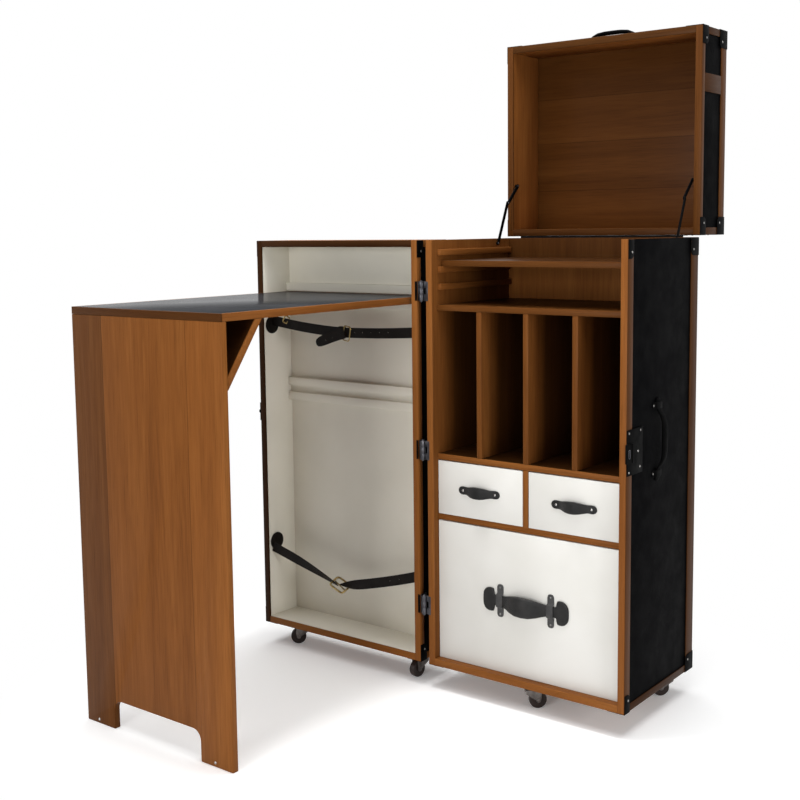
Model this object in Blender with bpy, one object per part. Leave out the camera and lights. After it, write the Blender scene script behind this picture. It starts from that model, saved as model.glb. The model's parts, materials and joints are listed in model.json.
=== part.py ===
"""Writing desk trunk standing open: a deep case with drawers and pigeonholes, a shallow
door half hinged to it, a lid hinged to the case's back and a desk held by the door half.

Metres, +Z up. X runs along the trunk's width, Y from its front to its back. The trunk
hinge's axis is at X = 0, Y = 0 until the whole trunk is moved to its own origin at the end.
"""

import math

import bmesh
import bpy
from mathutils import Matrix, Vector

for leftover in list(bpy.data.objects):
    bpy.data.objects.remove(leftover, do_unlink=True)

# Outer sizes
WIDTH = 0.570
CASE_DEPTH = 0.385
DOOR_DEPTH = 0.133
LID_HEIGHT = 0.152
HINGE_GAP = 0.029
CASTER_HEIGHT = 0.064

# Walls: board, leather skin and battens together are one wall thick
WALL = 0.018
BATTEN = 0.0025
LEATHER = 0.002
STRIP = 0.0045
SEAT = 0.0003
RUN = 0.0012
LAP = 0.002
FRONT_BATTEN = 0.028
BACK_BATTEN = 0.040
DOOR_BATTEN = 0.018
LID_BATTEN = 0.032

# Case interior
INSET = 0.0215
SHELF = 0.015
LARGE_OPENING = 0.374
SMALL_OPENING = 0.144
TOP_COMPARTMENT = 0.166
DIVIDERS = ("left", "middle", "right")
RUNNER_HEIGHT = 0.016
RUNNER_WIDTH = 0.010
RUNNER_FIRST = 0.038
RUNNER_STEP = 0.044
LOOSE_SHELF_FRONT = 0.040
LOOSE_SHELF_BACK_GAP = 0.007

# Drawers
DRAWER_FRONT = 0.016
DRAWER_SIDE = 0.010
DRAWER_BOTTOM = 0.006
DRAWER_BACK_GAP = 0.012
DRAWER_SIDE_DROP = 0.014
PULL_LENGTH = 0.124
PULL_WIDTH = 0.024
PULL_RISE = 0.015
PULL_STRAP = 0.004
GRIP_LENGTH = 0.248
GRIP_NECKS = 0.147
GRIP_LIFT = 0.003

# Desk
DESK_HEIGHT = 1.036
DESK_HEADROOM = 0.148
DESK_THICKNESS = 0.018
DESK_REACH = 0.669
DESK_SIDE_GAP = 0.010
DESK_BACK_GAP = 0.001
COVER = 0.002
COVER_BORDER = 0.005
LEG = 0.0165
LEG_PIVOT_IN = 0.009
LEG_PIVOT_DROP = 0.010
FOOT_CUT_WIDTH = 0.306
FOOT_CUT_HEIGHT = 0.074
FOOT_CUT_RADIUS = 0.025
BRACE = 0.017
BRACE_DROP = 0.152
BRACE_REACH = 0.110
BRACE_GAP = 0.0008
RAIL_HEIGHT = 0.023
RAIL_DEPTH = 0.015
RAIL_WEB = 0.003
LOWER_SLOT = 0.740
SLOT_PLAY = 0.002

# Straps
STRAP_WIDTH = 0.028
STRAP_THICKNESS = 0.003
STRAP_BACK = 0.034
PAD_RADIUS = 0.025
PAD_THICKNESS = 0.005
UPPER_STRAP_DROP = 0.094
UPPER_STRAP_SAG = 0.010
UPPER_BUCKLE_SHARE = 0.50
LOWER_STRAP_HEIGHT = 0.298
LOWER_STRAP_SAG = 0.090
LOWER_BUCKLE_SHARE = 0.43

# Hinges
LOWER_HINGE_RISE = 0.159
UPPER_HINGE_DROP = 0.131
HINGE_TALL = 0.050
HINGE_REACH = 0.023
LEAF = 0.0025
BARREL = 0.0065
PIN = 0.0028
PIN_PLAY = 0.0004
KNUCKLE_PLAY = 0.0004
LID_GAP = 0.001
LID_LEAF = 0.0018
LID_BARREL = 0.0042
LID_PIN = 0.0018
LID_HINGE_INSET = 0.045
LID_HINGE_REACH = 0.026
LID_KNUCKLES = 7
LID_AXIS_BACK = 0.005

# Lid stays
STAY_CASE_FORWARD = 0.080
STAY_CASE_DROP = 0.013
STAY_LID_BACK = 0.012
STAY_LID_RISE = 0.1435
STAY_LOWER = 0.120
STAY_UPPER = 0.068
STAY_BAR = 0.010
STAY_THICKNESS = 0.0025
STAY_STAND = 0.004

# Outside fittings
HANDLE_LENGTH = 0.204
HANDLE_WIDTH = 0.024
HANDLE_RISE = 0.022
HANDLE_STRAP = 0.005
SIDE_HANDLE_HEIGHT = 0.702
SIDE_HANDLE_BACK = 0.163
LOCK_HEIGHT = 0.691
LOCK_TALL = 0.108
LOCK_LONG = 0.078
LOCK_PLATE = 0.0025
HASP_TALL = 0.045
HASP_OVERHANG = 0.012
HASP_THICKNESS = 0.0044
HASP_BARREL = 0.0035
KEEPER_TALL = 0.052
KEEPER_LONG = 0.016
KEEPER_KNOB = 0.006

# Casters
WHEEL_RADIUS = 0.0225
WHEEL_WIDTH = 0.018
WHEEL_EDGE = 0.0035
WHEEL_SIDES = 24
AXLE = 0.004
TRAIL = 0.022
FRONT_CASTER_TURN = math.radians(45)
REAR_CASTER_TURN = math.radians(225)
DOOR_LEFT_CASTER_TURN = math.radians(225)
DOOR_RIGHT_CASTER_TURN = math.radians(260)
FORK_SHEET = 0.0025
FRONT_CASTER_INSET = 0.039
SIDE_CASTER_INSET = 0.039
REAR_CASTER_INSET = 0.059
DOOR_LEFT_CASTER_INSET = 0.099
DOOR_RIGHT_CASTER_INSET = 0.041

# Levels and faces that follow from the sizes. The desk sets the trunk's height, and the
# pigeonholes take what the drawers and the top compartment leave.
BASE = CASTER_HEIGHT
BODY_HEIGHT = DESK_HEIGHT + DESK_HEADROOM - BASE
TOP = BASE + BODY_HEIGHT
CASE_LEFT = HINGE_GAP / 2
CASE_RIGHT = CASE_LEFT + WIDTH
CASE_MIDDLE = CASE_LEFT + WIDTH / 2
DOOR_RIGHT = -HINGE_GAP / 2
DOOR_LEFT = DOOR_RIGHT - WIDTH
LEATHER_FACE = BATTEN + SEAT
BOARD_FACE = LEATHER_FACE + LEATHER + SEAT
CASE_INNER = (CASE_LEFT + WALL, CASE_RIGHT - WALL)
CASE_INNER_BACK = CASE_DEPTH - WALL
DOOR_INNER = (DOOR_LEFT + WALL, DOOR_RIGHT - WALL)
DOOR_INNER_BACK = DOOR_DEPTH - WALL
FLOOR = BASE + WALL
RAIL_LEVEL = FLOOR + LARGE_OPENING
SMALL_FLOOR = RAIL_LEVEL + SHELF
PIGEON_SHELF = SMALL_FLOOR + SMALL_OPENING
PIGEON_FLOOR = PIGEON_SHELF + SHELF
PIGEONHOLE = TOP - TOP_COMPARTMENT - SHELF - PIGEON_FLOOR
TOP_SHELF = PIGEON_FLOOR + PIGEONHOLE
COMPARTMENT_FLOOR = TOP_SHELF + SHELF
LOWER_HINGE = BASE + LOWER_HINGE_RISE
UPPER_HINGE = TOP - UPPER_HINGE_DROP
DESK_UNDER = DESK_HEIGHT - DESK_THICKNESS
UPPER_STRAP_HEIGHT = DESK_HEIGHT - UPPER_STRAP_DROP
DESK_ACROSS = (DOOR_INNER[0] + DESK_SIDE_GAP, DOOR_INNER[1] - DESK_SIDE_GAP)
DESK_REAR = DOOR_INNER_BACK - SEAT - RAIL_WEB - DESK_BACK_GAP
LEG_INNER = -DESK_REACH + LEG
LID_RIM = TOP + LID_GAP
LID_TOP = LID_RIM + LID_HEIGHT
LID_FRONT = -DOOR_DEPTH
LID_AXIS_Y = CASE_DEPTH + LID_AXIS_BACK
LID_AXIS_Z = TOP + LID_GAP / 2

FINISHES = {
    "wood": ((0.30, 0.12, 0.045), 0.35, 0.0),
    "lining": ((0.60, 0.57, 0.48), 0.7, 0.0),
    "leather": ((0.012, 0.012, 0.012), 0.5, 0.0),
    "drawer": ((0.80, 0.79, 0.76), 0.5, 0.0),
    "cover": ((0.03, 0.03, 0.033), 0.15, 0.0),
    "metal": ((0.02, 0.02, 0.02), 0.35, 1.0),
    "steel": ((0.30, 0.29, 0.30), 0.35, 1.0),
    "wheel": ((0.035, 0.02, 0.015), 0.4, 0.0),
}


# Shapes: each function returns one closed solid in trunk coordinates
def to_axes(axis, along, across, up):
    """A point from its place along an axis and on the two other axes in order."""
    if axis == "X":
        return (along, across, up)
    if axis == "Y":
        return (across, along, up)
    return (across, up, along)


def box(x_span, y_span, z_span):
    solid = bmesh.new()
    corners = [solid.verts.new((x, y, z)) for x in x_span for y in y_span for z in z_span]
    for loop in ((0, 1, 3, 2), (4, 6, 7, 5), (0, 4, 5, 1), (2, 3, 7, 6), (0, 2, 6, 4), (1, 5, 7, 3)):
        solid.faces.new([corners[index] for index in loop])
    bmesh.ops.recalc_face_normals(solid, faces=solid.faces[:])
    return solid


def prism(axis, span, outline):
    """The outline's area swept along an axis."""
    solid = bmesh.new()
    verts = [solid.verts.new(to_axes(axis, span[0], across, up)) for across, up in outline]
    solid.faces.new(verts)
    solid.normal_update()
    bmesh.ops.triangulate(solid, faces=solid.faces[:])
    swept = bmesh.ops.extrude_face_region(solid, geom=solid.faces[:])
    moved = [item for item in swept["geom"] if isinstance(item, bmesh.types.BMVert)]
    bmesh.ops.translate(solid, verts=moved, vec=to_axes(axis, span[1] - span[0], 0, 0))
    bmesh.ops.recalc_face_normals(solid, faces=solid.faces[:])
    return solid


def circle(across, up, radius, sides=20):
    turns = [2 * math.pi * (step + 0.5) / sides for step in range(sides)]
    return [(across + radius * math.cos(turn), up + radius * math.sin(turn)) for turn in turns]


def cylinder(axis, span, across, up, radius, sides=20):
    return prism(axis, span, circle(across, up, radius, sides))


def turned(profile, sides):
    """A closed profile of (radius, along) points turned about Y."""
    solid = bmesh.new()
    rings = []
    for step in range(sides):
        turn = 2 * math.pi * (step + 0.5) / sides
        ring = [(radius * math.cos(turn), along, radius * math.sin(turn)) for radius, along in profile]
        rings.append([solid.verts.new(point) for point in ring])
    for near, far in zip(rings, rings[1:] + rings[:1]):
        for index in range(len(profile)):
            follow = (index + 1) % len(profile)
            solid.faces.new((near[index], near[follow], far[follow], far[index]))
    bmesh.ops.recalc_face_normals(solid, faces=solid.faces[:])
    return solid


def loft(rings):
    """A solid through rings of points, closed at both ends."""
    solid = bmesh.new()
    loops = [[solid.verts.new(point) for point in ring] for ring in rings]
    for near, far in zip(loops, loops[1:]):
        for index in range(len(near)):
            follow = (index + 1) % len(near)
            solid.faces.new((near[index], near[follow], far[follow], far[index]))
    solid.faces.new(loops[0])
    solid.faces.new(loops[-1])
    bmesh.ops.recalc_face_normals(solid, faces=solid.faces[:])
    return solid


def scratch_object(solid):
    mesh = bpy.data.meshes.new("scratch")
    solid.to_mesh(mesh)
    solid.free()
    made = bpy.data.objects.new("scratch", mesh)
    bpy.context.scene.collection.objects.link(made)
    return made


def fuse(shapes, cutters=()):
    """One solid from several that overlap, less the cutters."""
    base = scratch_object(shapes[0])
    tools = []
    for operation, group in (("UNION", shapes[1:]), ("DIFFERENCE", cutters)):
        for tool_shape in group:
            tool = scratch_object(tool_shape)
            step = base.modifiers.new(operation, "BOOLEAN")
            step.operation = operation
            step.solver = "EXACT"
            step.object = tool
            tools.append(tool)
    graph = bpy.context.evaluated_depsgraph_get()
    mesh = bpy.data.meshes.new_from_object(base.evaluated_get(graph))
    solid = bmesh.new()
    solid.from_mesh(mesh)
    for scratch in [base, *tools]:
        bpy.data.objects.remove(scratch, do_unlink=True)
    return solid


def arch(length, rise, thickness, tab, steps=10):
    """Side view of a strap whose flat end tabs lie on a face and whose middle stands off it."""
    half = length / 2
    ramp = half * 0.38
    under = [(-half, 0.0)]
    for step in range(steps + 1):
        at = -half + tab + ramp * step / steps
        under.append((at, rise * (1 - math.cos(math.pi * step / steps)) / 2))
    under += [(-at, height) for at, height in reversed(under)]
    over = [(at, height + thickness) for at, height in reversed(under)]
    return under + over


# Objects: each piece hangs on the empty of the body that it moves with
ROOT = bpy.data.objects.new("trunk_root", None)
bpy.context.scene.collection.objects.link(ROOT)
BODIES = {}


def body(name, pivot, turn=0.0):
    empty = bpy.data.objects.new(name + "_axis", None)
    bpy.context.scene.collection.objects.link(empty)
    empty.parent = ROOT
    empty.location = pivot
    empty.rotation_euler = (turn, 0.0, 0.0)
    BODIES[name] = (empty, Vector(pivot))


def piece(name, body_name, finish, solid):
    colour, roughness, metallic = FINISHES[finish]
    material = bpy.data.materials.new(name + "_finish")
    material.use_nodes = True
    surface = material.node_tree.nodes["Principled BSDF"]
    surface.inputs["Base Color"].default_value = (*colour, 1.0)
    surface.inputs["Roughness"].default_value = roughness
    surface.inputs["Metallic"].default_value = metallic
    mesh = bpy.data.meshes.new(name)
    solid.to_mesh(mesh)
    solid.free()
    empty, pivot = BODIES[body_name]
    mesh.transform(Matrix.Translation(-pivot))
    mesh.materials.append(material)
    made = bpy.data.objects.new(name, mesh)
    bpy.context.scene.collection.objects.link(made)
    made.parent = empty


def wrap(left, right, rear, levels):
    """Leather round three sides of a half, from its front edge to its back and round again."""
    outer = (left + LEATHER_FACE, right - LEATHER_FACE, rear - LEATHER_FACE)
    inner = (outer[0] + LEATHER, outer[1] - LEATHER, outer[2] - LEATHER)
    front = STRIP + SEAT
    outline = [
        (outer[0], front),
        (outer[0], outer[2]),
        (outer[1], outer[2]),
        (outer[1], front),
        (inner[1], front),
        (inner[1], inner[2]),
        (inner[0], inner[2]),
        (inner[0], front),
    ]
    return prism("Z", levels, outline)


body("case", (0.0, 0.0, 0.0))
body("door", (0.0, 0.0, BASE))
body("lid", (CASE_MIDDLE, LID_AXIS_Y, LID_AXIS_Z), math.radians(-90))
BEYOND = WIDTH

# Case: sides with their shelf runners, back and floor
interior_depth = (INSET, CASE_INNER_BACK - SEAT)
runner_depth = (INSET + STRIP, CASE_INNER_BACK - SEAT)
side_depth = (STRIP + SEAT, CASE_DEPTH - BOARD_FACE)
runner_levels = [COMPARTMENT_FLOOR + RUNNER_FIRST + step * RUNNER_STEP for step in range(3)]
for name, outer, inner, inward in (
    ("case_left_side", CASE_LEFT + BOARD_FACE, CASE_INNER[0], 1),
    ("case_right_side", CASE_RIGHT - BOARD_FACE, CASE_INNER[1], -1),
):
    boards = [box(sorted((outer, inner)), side_depth, (BASE, TOP))]
    for level in runner_levels:
        runner_across = sorted((inner - inward * LAP, inner + inward * RUNNER_WIDTH))
        boards.append(box(runner_across, runner_depth, (level, level + RUNNER_HEIGHT)))
    piece(name, "case", "wood", fuse(boards))

case_across = (CASE_INNER[0] + SEAT, CASE_INNER[1] - SEAT)
piece("case_back", "case", "wood", box(case_across, (CASE_INNER_BACK, side_depth[1]), (BASE, TOP)))
piece("case_bottom", "case", "wood", box(case_across, (side_depth[0], CASE_INNER_BACK - SEAT), (BASE, FLOOR)))
piece("case_leather", "case", "leather", wrap(CASE_LEFT, CASE_RIGHT, CASE_DEPTH, (BASE, TOP)))

# Case battens: front strips, edge battens and bottom rail, with the leather showing between
case_shell = box((CASE_LEFT, CASE_RIGHT), (0.0, CASE_DEPTH), (BASE, TOP))
case_windows = [
    box((CASE_LEFT + BATTEN, CASE_RIGHT - BATTEN), (STRIP, CASE_DEPTH - BATTEN), (BASE - WALL, TOP + WALL)),
    box(CASE_INNER, (-WALL, CASE_INNER_BACK), (FLOOR, TOP + WALL)),
    box(
        (CASE_LEFT - WALL, CASE_RIGHT + WALL),
        (FRONT_BATTEN, CASE_DEPTH - BACK_BATTEN),
        (FLOOR, TOP + WALL),
    ),
    box(
        (CASE_LEFT + FRONT_BATTEN, CASE_RIGHT - FRONT_BATTEN),
        (CASE_INNER_BACK, CASE_DEPTH + WALL),
        (FLOOR, TOP - WALL),
    ),
]
piece("case_battens", "case", "wood", fuse([case_shell], case_windows))

# Case interior: shelves, upright dividers, and the rail and post between the drawers
for name, levels in (
    ("pigeonhole_floor", (PIGEON_SHELF, PIGEON_FLOOR)),
    ("pigeonhole_top_shelf", (TOP_SHELF, COMPARTMENT_FLOOR)),
):
    piece(name, "case", "wood", box(case_across, interior_depth, levels))
hole_width = (CASE_INNER[1] - CASE_INNER[0] - len(DIVIDERS) * SHELF) / (len(DIVIDERS) + 1)
for number, label in enumerate(DIVIDERS):
    left = CASE_INNER[0] + hole_width + number * (hole_width + SHELF)
    divider = box((left, left + SHELF), interior_depth, (PIGEON_FLOOR + SEAT, TOP_SHELF - SEAT))
    piece("pigeonhole_divider_" + label, "case", "wood", divider)

post_across = (CASE_MIDDLE - SHELF / 2, CASE_MIDDLE + SHELF / 2)
rail = box(case_across, interior_depth, (RAIL_LEVEL, SMALL_FLOOR))
post = box(post_across, interior_depth, (SMALL_FLOOR - LAP, PIGEON_SHELF - SEAT))
piece("drawer_frame", "case", "wood", fuse([rail, post]))

loose_level = runner_levels[1] + RUNNER_HEIGHT + SEAT
body("pull_out_shelf", (CASE_MIDDLE, LOOSE_SHELF_FRONT, loose_level))
loose_across = (CASE_INNER[0] + RUN, CASE_INNER[1] - RUN)
loose_depth = (LOOSE_SHELF_FRONT, CASE_INNER_BACK - LOOSE_SHELF_BACK_GAP)
loose_shelf = box(loose_across, loose_depth, (loose_level, loose_level + SHELF))
piece("pull_out_shelf", "pull_out_shelf", "wood", loose_shelf)


# Drawers: a front and an open tray behind it
def drawer(across, levels):
    low, high = levels
    rear = CASE_INNER_BACK - DRAWER_BACK_GAP
    front_back = INSET + DRAWER_FRONT
    front = box(across, (INSET, front_back), levels)
    tray = box(across, (front_back - LAP, rear), (low, high - DRAWER_SIDE_DROP))
    hollow = box(
        (across[0] + DRAWER_SIDE, across[1] - DRAWER_SIDE),
        (front_back, rear - DRAWER_SIDE),
        (low + DRAWER_BOTTOM, high + DRAWER_SIDE_DROP),
    )
    return fuse([front, tray], [hollow])


small_levels = (SMALL_FLOOR + SEAT, PIGEON_SHELF - 2 * RUN)
small_middle = (small_levels[0] + small_levels[1]) / 2
pull_levels = (small_middle - PULL_WIDTH / 2, small_middle + PULL_WIDTH / 2)
for name, across in (
    ("small_drawer_left", (CASE_INNER[0] + RUN, post_across[0] - RUN)),
    ("small_drawer_right", (post_across[1] + RUN, CASE_INNER[1] - RUN)),
):
    middle = (across[0] + across[1]) / 2
    body(name, (middle, INSET, small_middle))
    piece(name, name, "drawer", drawer(across, small_levels))
    strap = arch(PULL_LENGTH, PULL_RISE, PULL_STRAP, PULL_WIDTH)
    outline = [(middle + at, INSET - SEAT - height) for at, height in strap]
    piece(name + "_pull", name, "leather", prism("Z", pull_levels, outline))

large_levels = (FLOOR + SEAT, RAIL_LEVEL - 2 * RUN)
grip_level = (large_levels[0] + large_levels[1]) / 2 + GRIP_LIFT
body("large_drawer", (CASE_MIDDLE, INSET, grip_level))
piece("large_drawer", "large_drawer", "drawer", drawer(loose_across, large_levels))

# Grip: paddle ends flat on the drawer, narrow necks, a thick middle that stands off
neck = GRIP_NECKS / 2
paddle = GRIP_LENGTH / 2
grip_stations = [
    (-paddle, 0.006, 0.003, 0.0045),
    (-paddle * 0.97, 0.016, 0.004, 0.0045),
    (-paddle * 0.88, 0.025, 0.004, 0.0045),
    (-neck * 1.32, 0.028, 0.004, 0.0045),
    (-neck * 1.24, 0.027, 0.004, 0.0050),
    (-neck * 1.12, 0.013, 0.005, 0.0080),
    (-neck * 0.88, 0.013, 0.006, 0.0120),
    (-neck * 0.55, 0.016, 0.008, 0.0210),
    (0.0, 0.018, 0.009, 0.0240),
]
grip_stations += [(-at, tall, thick, off) for at, tall, thick, off in reversed(grip_stations[:-1])]
grip_rings = []
for at, tall, thick, off in grip_stations:
    middle_line = INSET - SEAT - off
    oval = circle(0.0, 0.0, 1.0, 14)
    grip_rings.append([(CASE_MIDDLE + at, middle_line + u * thick, grip_level + v * tall) for u, v in oval])
piece("large_drawer_grip", "large_drawer", "leather", loft(grip_rings))

# Door half: an open box, its leather and its battens with the front frame
door_outer = box(
    (DOOR_LEFT + BOARD_FACE, DOOR_RIGHT - BOARD_FACE),
    (STRIP + SEAT, DOOR_DEPTH - BOARD_FACE),
    (BASE, TOP),
)
door_hollow = box(DOOR_INNER, (-WALL, DOOR_INNER_BACK), (FLOOR, TOP - WALL))
piece("door_shell", "door", "lining", fuse([door_outer], [door_hollow]))
piece("door_leather", "door", "leather", wrap(DOOR_LEFT, DOOR_RIGHT, DOOR_DEPTH, (BASE, TOP)))

door_cage = box((DOOR_LEFT, DOOR_RIGHT), (0.0, DOOR_DEPTH), (BASE, TOP))
door_windows = [
    box((DOOR_LEFT + BATTEN, DOOR_RIGHT - BATTEN), (STRIP, DOOR_DEPTH - BATTEN), (BASE - WALL, TOP + WALL)),
    box(DOOR_INNER, (-WALL, DOOR_INNER_BACK), (FLOOR, TOP - WALL)),
    box(
        (DOOR_LEFT - WALL, DOOR_RIGHT + WALL),
        (DOOR_BATTEN, DOOR_DEPTH - FRONT_BATTEN),
        (FLOOR, TOP - WALL),
    ),
    box(
        (DOOR_LEFT + FRONT_BATTEN, DOOR_RIGHT - FRONT_BATTEN),
        (DOOR_INNER_BACK, DOOR_DEPTH + WALL),
        (FLOOR, TOP - WALL),
    ),
]
piece("door_battens", "door", "wood", fuse([door_cage], door_windows))

# Desk rails: grooved boards on the door's back wall for two desk heights
door_across = (DOOR_INNER[0] + SEAT, DOOR_INNER[1] - SEAT)
rail_back = DOOR_INNER_BACK - SEAT
rail_front = rail_back - RAIL_DEPTH
slot_back = rail_back - RAIL_WEB
for name, slot in (("desk_rail_upper", DESK_UNDER - SEAT), ("desk_rail_lower", LOWER_SLOT)):
    roof = slot + DESK_THICKNESS + SLOT_PLAY
    rail_board = box(door_across, (rail_front, rail_back), (slot - RAIL_HEIGHT, roof + RAIL_HEIGHT))
    groove = box((DOOR_LEFT, DOOR_RIGHT), (0.0, slot_back), (slot, roof))
    piece(name, "door", "lining", fuse([rail_board], [groove]))

# Straps across the door half, with round pads where they are fixed to its sides
strap_depth = (STRAP_BACK - STRAP_THICKNESS / 2, STRAP_BACK + STRAP_THICKNESS / 2)
strap_across = (door_across[0] + PAD_THICKNESS / 2, door_across[1] - PAD_THICKNESS / 2)
for name, height, sag, share in (
    ("strap_upper", UPPER_STRAP_HEIGHT, UPPER_STRAP_SAG, UPPER_BUCKLE_SHARE),
    ("strap_lower", LOWER_STRAP_HEIGHT, LOWER_STRAP_SAG, LOWER_BUCKLE_SHARE),
):
    buckle = strap_across[0] + (strap_across[1] - strap_across[0]) * share
    line = []
    for step in range(9):
        at = strap_across[0] + (buckle - strap_across[0]) * step / 8
        line.append((at, height - sag * math.sin(math.pi / 2 * step / 8)))
    for step in range(1, 9):
        at = buckle + (strap_across[1] - buckle) * step / 8
        line.append((at, height - sag * math.cos(math.pi / 2 * step / 8)))
    over = [(at, up + STRAP_WIDTH / 2) for at, up in line]
    under = [(at, up - STRAP_WIDTH / 2) for at, up in reversed(line)]
    band = prism("Y", strap_depth, over + under)
    left_span = (door_across[0], door_across[0] + PAD_THICKNESS)
    right_span = (door_across[1] - PAD_THICKNESS, door_across[1])
    left_pad = cylinder("X", left_span, STRAP_BACK, height, PAD_RADIUS)
    right_pad = cylinder("X", right_span, STRAP_BACK, height, PAD_RADIUS)
    piece(name, "door", "leather", fuse([band, left_pad, right_pad]))

# Desk: top with its covering, leg panel on a hinge under the top, brace on the leg
body("desk", (0.0, 0.0, DESK_HEIGHT))
cover_across = (DESK_ACROSS[0] + COVER_BORDER, DESK_ACROSS[1] - COVER_BORDER)
cover_depth = (-DESK_REACH + COVER_BORDER, DESK_REAR - RAIL_DEPTH - COVER_BORDER)
pocket = box(cover_across, cover_depth, (DESK_HEIGHT - COVER, DESK_HEIGHT + COVER))
board = box(DESK_ACROSS, (-DESK_REACH, DESK_REAR), (DESK_UNDER, DESK_HEIGHT))
piece("desk_top", "desk", "wood", fuse([board], [pocket]))
cover = box(
    (cover_across[0] + SEAT, cover_across[1] - SEAT),
    (cover_depth[0] + SEAT, cover_depth[1] - SEAT),
    (DESK_HEIGHT - COVER + SEAT, DESK_HEIGHT),
)
piece("desk_cover", "desk", "cover", cover)

body("desk_leg", (0.0, LEG_INNER + LEG_PIVOT_IN, DESK_UNDER - LEG_PIVOT_DROP))
desk_middle = (DESK_ACROSS[0] + DESK_ACROSS[1]) / 2
cut_half = FOOT_CUT_WIDTH / 2
corner_at = cut_half - FOOT_CUT_RADIUS
corner_up = FOOT_CUT_HEIGHT - FOOT_CUT_RADIUS
foot_cut = [(cut_half, 0.0)]
for step in range(7):
    turn = math.pi / 2 * step / 6
    around = (FOOT_CUT_RADIUS * math.cos(turn), FOOT_CUT_RADIUS * math.sin(turn))
    foot_cut.append((corner_at + around[0], corner_up + around[1]))
foot_cut += [(-at, up) for at, up in reversed(foot_cut)]
leg_top = DESK_UNDER - SEAT
leg_left, leg_right = DESK_ACROSS
leg_outline = [(leg_left, 0.0), (leg_left, leg_top), (leg_right, leg_top), (leg_right, 0.0)]
leg_outline += [(desk_middle + at, up) for at, up in foot_cut]
piece("desk_leg", "desk_leg", "wood", prism("Y", (-DESK_REACH, LEG_INNER), leg_outline))

brace_low = (LEG_INNER + BRACE_GAP, DESK_UNDER - BRACE_DROP)
body("desk_brace", (0.0, *brace_low))
brace_slope = math.atan2(BRACE_DROP, BRACE_REACH)
brace_high = (brace_low[0] + BRACE_REACH, DESK_UNDER - SEAT)
brace_outline = [
    brace_low,
    brace_high,
    (brace_high[0] - BRACE / math.sin(brace_slope), brace_high[1]),
    (brace_low[0], brace_low[1] + BRACE / math.cos(brace_slope)),
]
piece("desk_brace", "desk_brace", "wood", prism("X", DESK_ACROSS, brace_outline))

# Trunk hinges: cranked leaves on the facing sides; the pin is fixed in the case's knuckles
third = HINGE_TALL / 3
half_tall = HINGE_TALL / 2
crank_front = BARREL * 0.45
crank_depth = (crank_front, crank_front + LEAF)
leaf_depth = (crank_front, crank_front + HINGE_REACH)
for label, height in (
    ("lower", LOWER_HINGE),
    ("middle", (LOWER_HINGE + UPPER_HINGE) / 2),
    ("upper", UPPER_HINGE),
):
    levels = (height - half_tall, height + half_tall)
    low_knuckle = (levels[0], levels[0] + third)
    high_knuckle = (levels[1] - third, levels[1])
    middle_knuckle = (low_knuckle[1] + KNUCKLE_PLAY, high_knuckle[0] - KNUCKLE_PLAY)
    for side, host, knuckles in ((1, "case", (low_knuckle, high_knuckle)), (-1, "door", (middle_knuckle,))):
        face = side * HINGE_GAP / 2
        plate_across = sorted((face - side * SEAT, face - side * (SEAT + LEAF)))
        crank_across = sorted((side * BARREL * 0.6, face - side * (SEAT + LEAF / 2)))
        parts = [box(plate_across, leaf_depth, levels)]
        for span in knuckles:
            parts.append(box(crank_across, crank_depth, span))
            parts.append(cylinder("Z", span, 0.0, 0.0, BARREL))
        bores = []
        if side > 0:
            parts.append(cylinder("Z", (levels[0] - PIN, levels[1] + PIN), 0.0, 0.0, PIN))
        else:
            bores.append(cylinder("Z", (levels[0], levels[1]), 0.0, 0.0, PIN + PIN_PLAY))
        piece("trunk_hinge_" + host + "_leaf_" + label, host, "steel", fuse(parts, bores))

# Lid, drawn shut; its empty turns it open
lid_inner_depth = (LID_FRONT + WALL, CASE_INNER_BACK)
lid_outer = box(
    (CASE_LEFT + BOARD_FACE, CASE_RIGHT - BOARD_FACE),
    (LID_FRONT + BOARD_FACE, CASE_DEPTH - BOARD_FACE),
    (LID_RIM + STRIP + SEAT, LID_TOP - BOARD_FACE),
)
lid_hollow = box(CASE_INNER, lid_inner_depth, (LID_RIM - WALL, LID_TOP - WALL))
piece("lid_box", "lid", "wood", fuse([lid_outer], [lid_hollow]))

skin_outer = box(
    (CASE_LEFT + LEATHER_FACE, CASE_RIGHT - LEATHER_FACE),
    (LID_FRONT + LEATHER_FACE, CASE_DEPTH - LEATHER_FACE),
    (LID_RIM + STRIP + SEAT, LID_TOP - LEATHER_FACE),
)
skin_depth = LEATHER_FACE + LEATHER
skin_hollow = box(
    (CASE_LEFT + skin_depth, CASE_RIGHT - skin_depth),
    (LID_FRONT + skin_depth, CASE_DEPTH - skin_depth),
    (LID_RIM - WALL, LID_TOP - skin_depth),
)
piece("lid_leather", "lid", "leather", fuse([skin_outer], [skin_hollow]))

# Lid battens: rim, edges, corners, and the batten that continues the line between the halves
lid_cage = box((CASE_LEFT, CASE_RIGHT), (LID_FRONT, CASE_DEPTH), (LID_RIM, LID_TOP))
lid_field = (LID_RIM + WALL, LID_TOP - LID_BATTEN)
lid_windows = [
    box(
        (CASE_LEFT + BATTEN, CASE_RIGHT - BATTEN),
        (LID_FRONT + BATTEN, CASE_DEPTH - BATTEN),
        (LID_RIM + STRIP, LID_TOP - BATTEN),
    ),
    box(CASE_INNER, lid_inner_depth, (LID_RIM - WALL, LID_RIM + WALL)),
    box(CASE_INNER, (LID_FRONT - WALL, CASE_DEPTH + WALL), lid_field),
]
for depth in ((LID_FRONT + WALL, -DOOR_BATTEN), (FRONT_BATTEN, CASE_DEPTH - WALL)):
    lid_windows.append(box((CASE_LEFT - WALL, CASE_RIGHT + WALL), depth, lid_field))
    lid_windows.append(box(CASE_INNER, depth, (LID_TOP - WALL, LID_TOP + WALL)))
piece("lid_battens", "lid", "wood", fuse([lid_cage], lid_windows))

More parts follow.
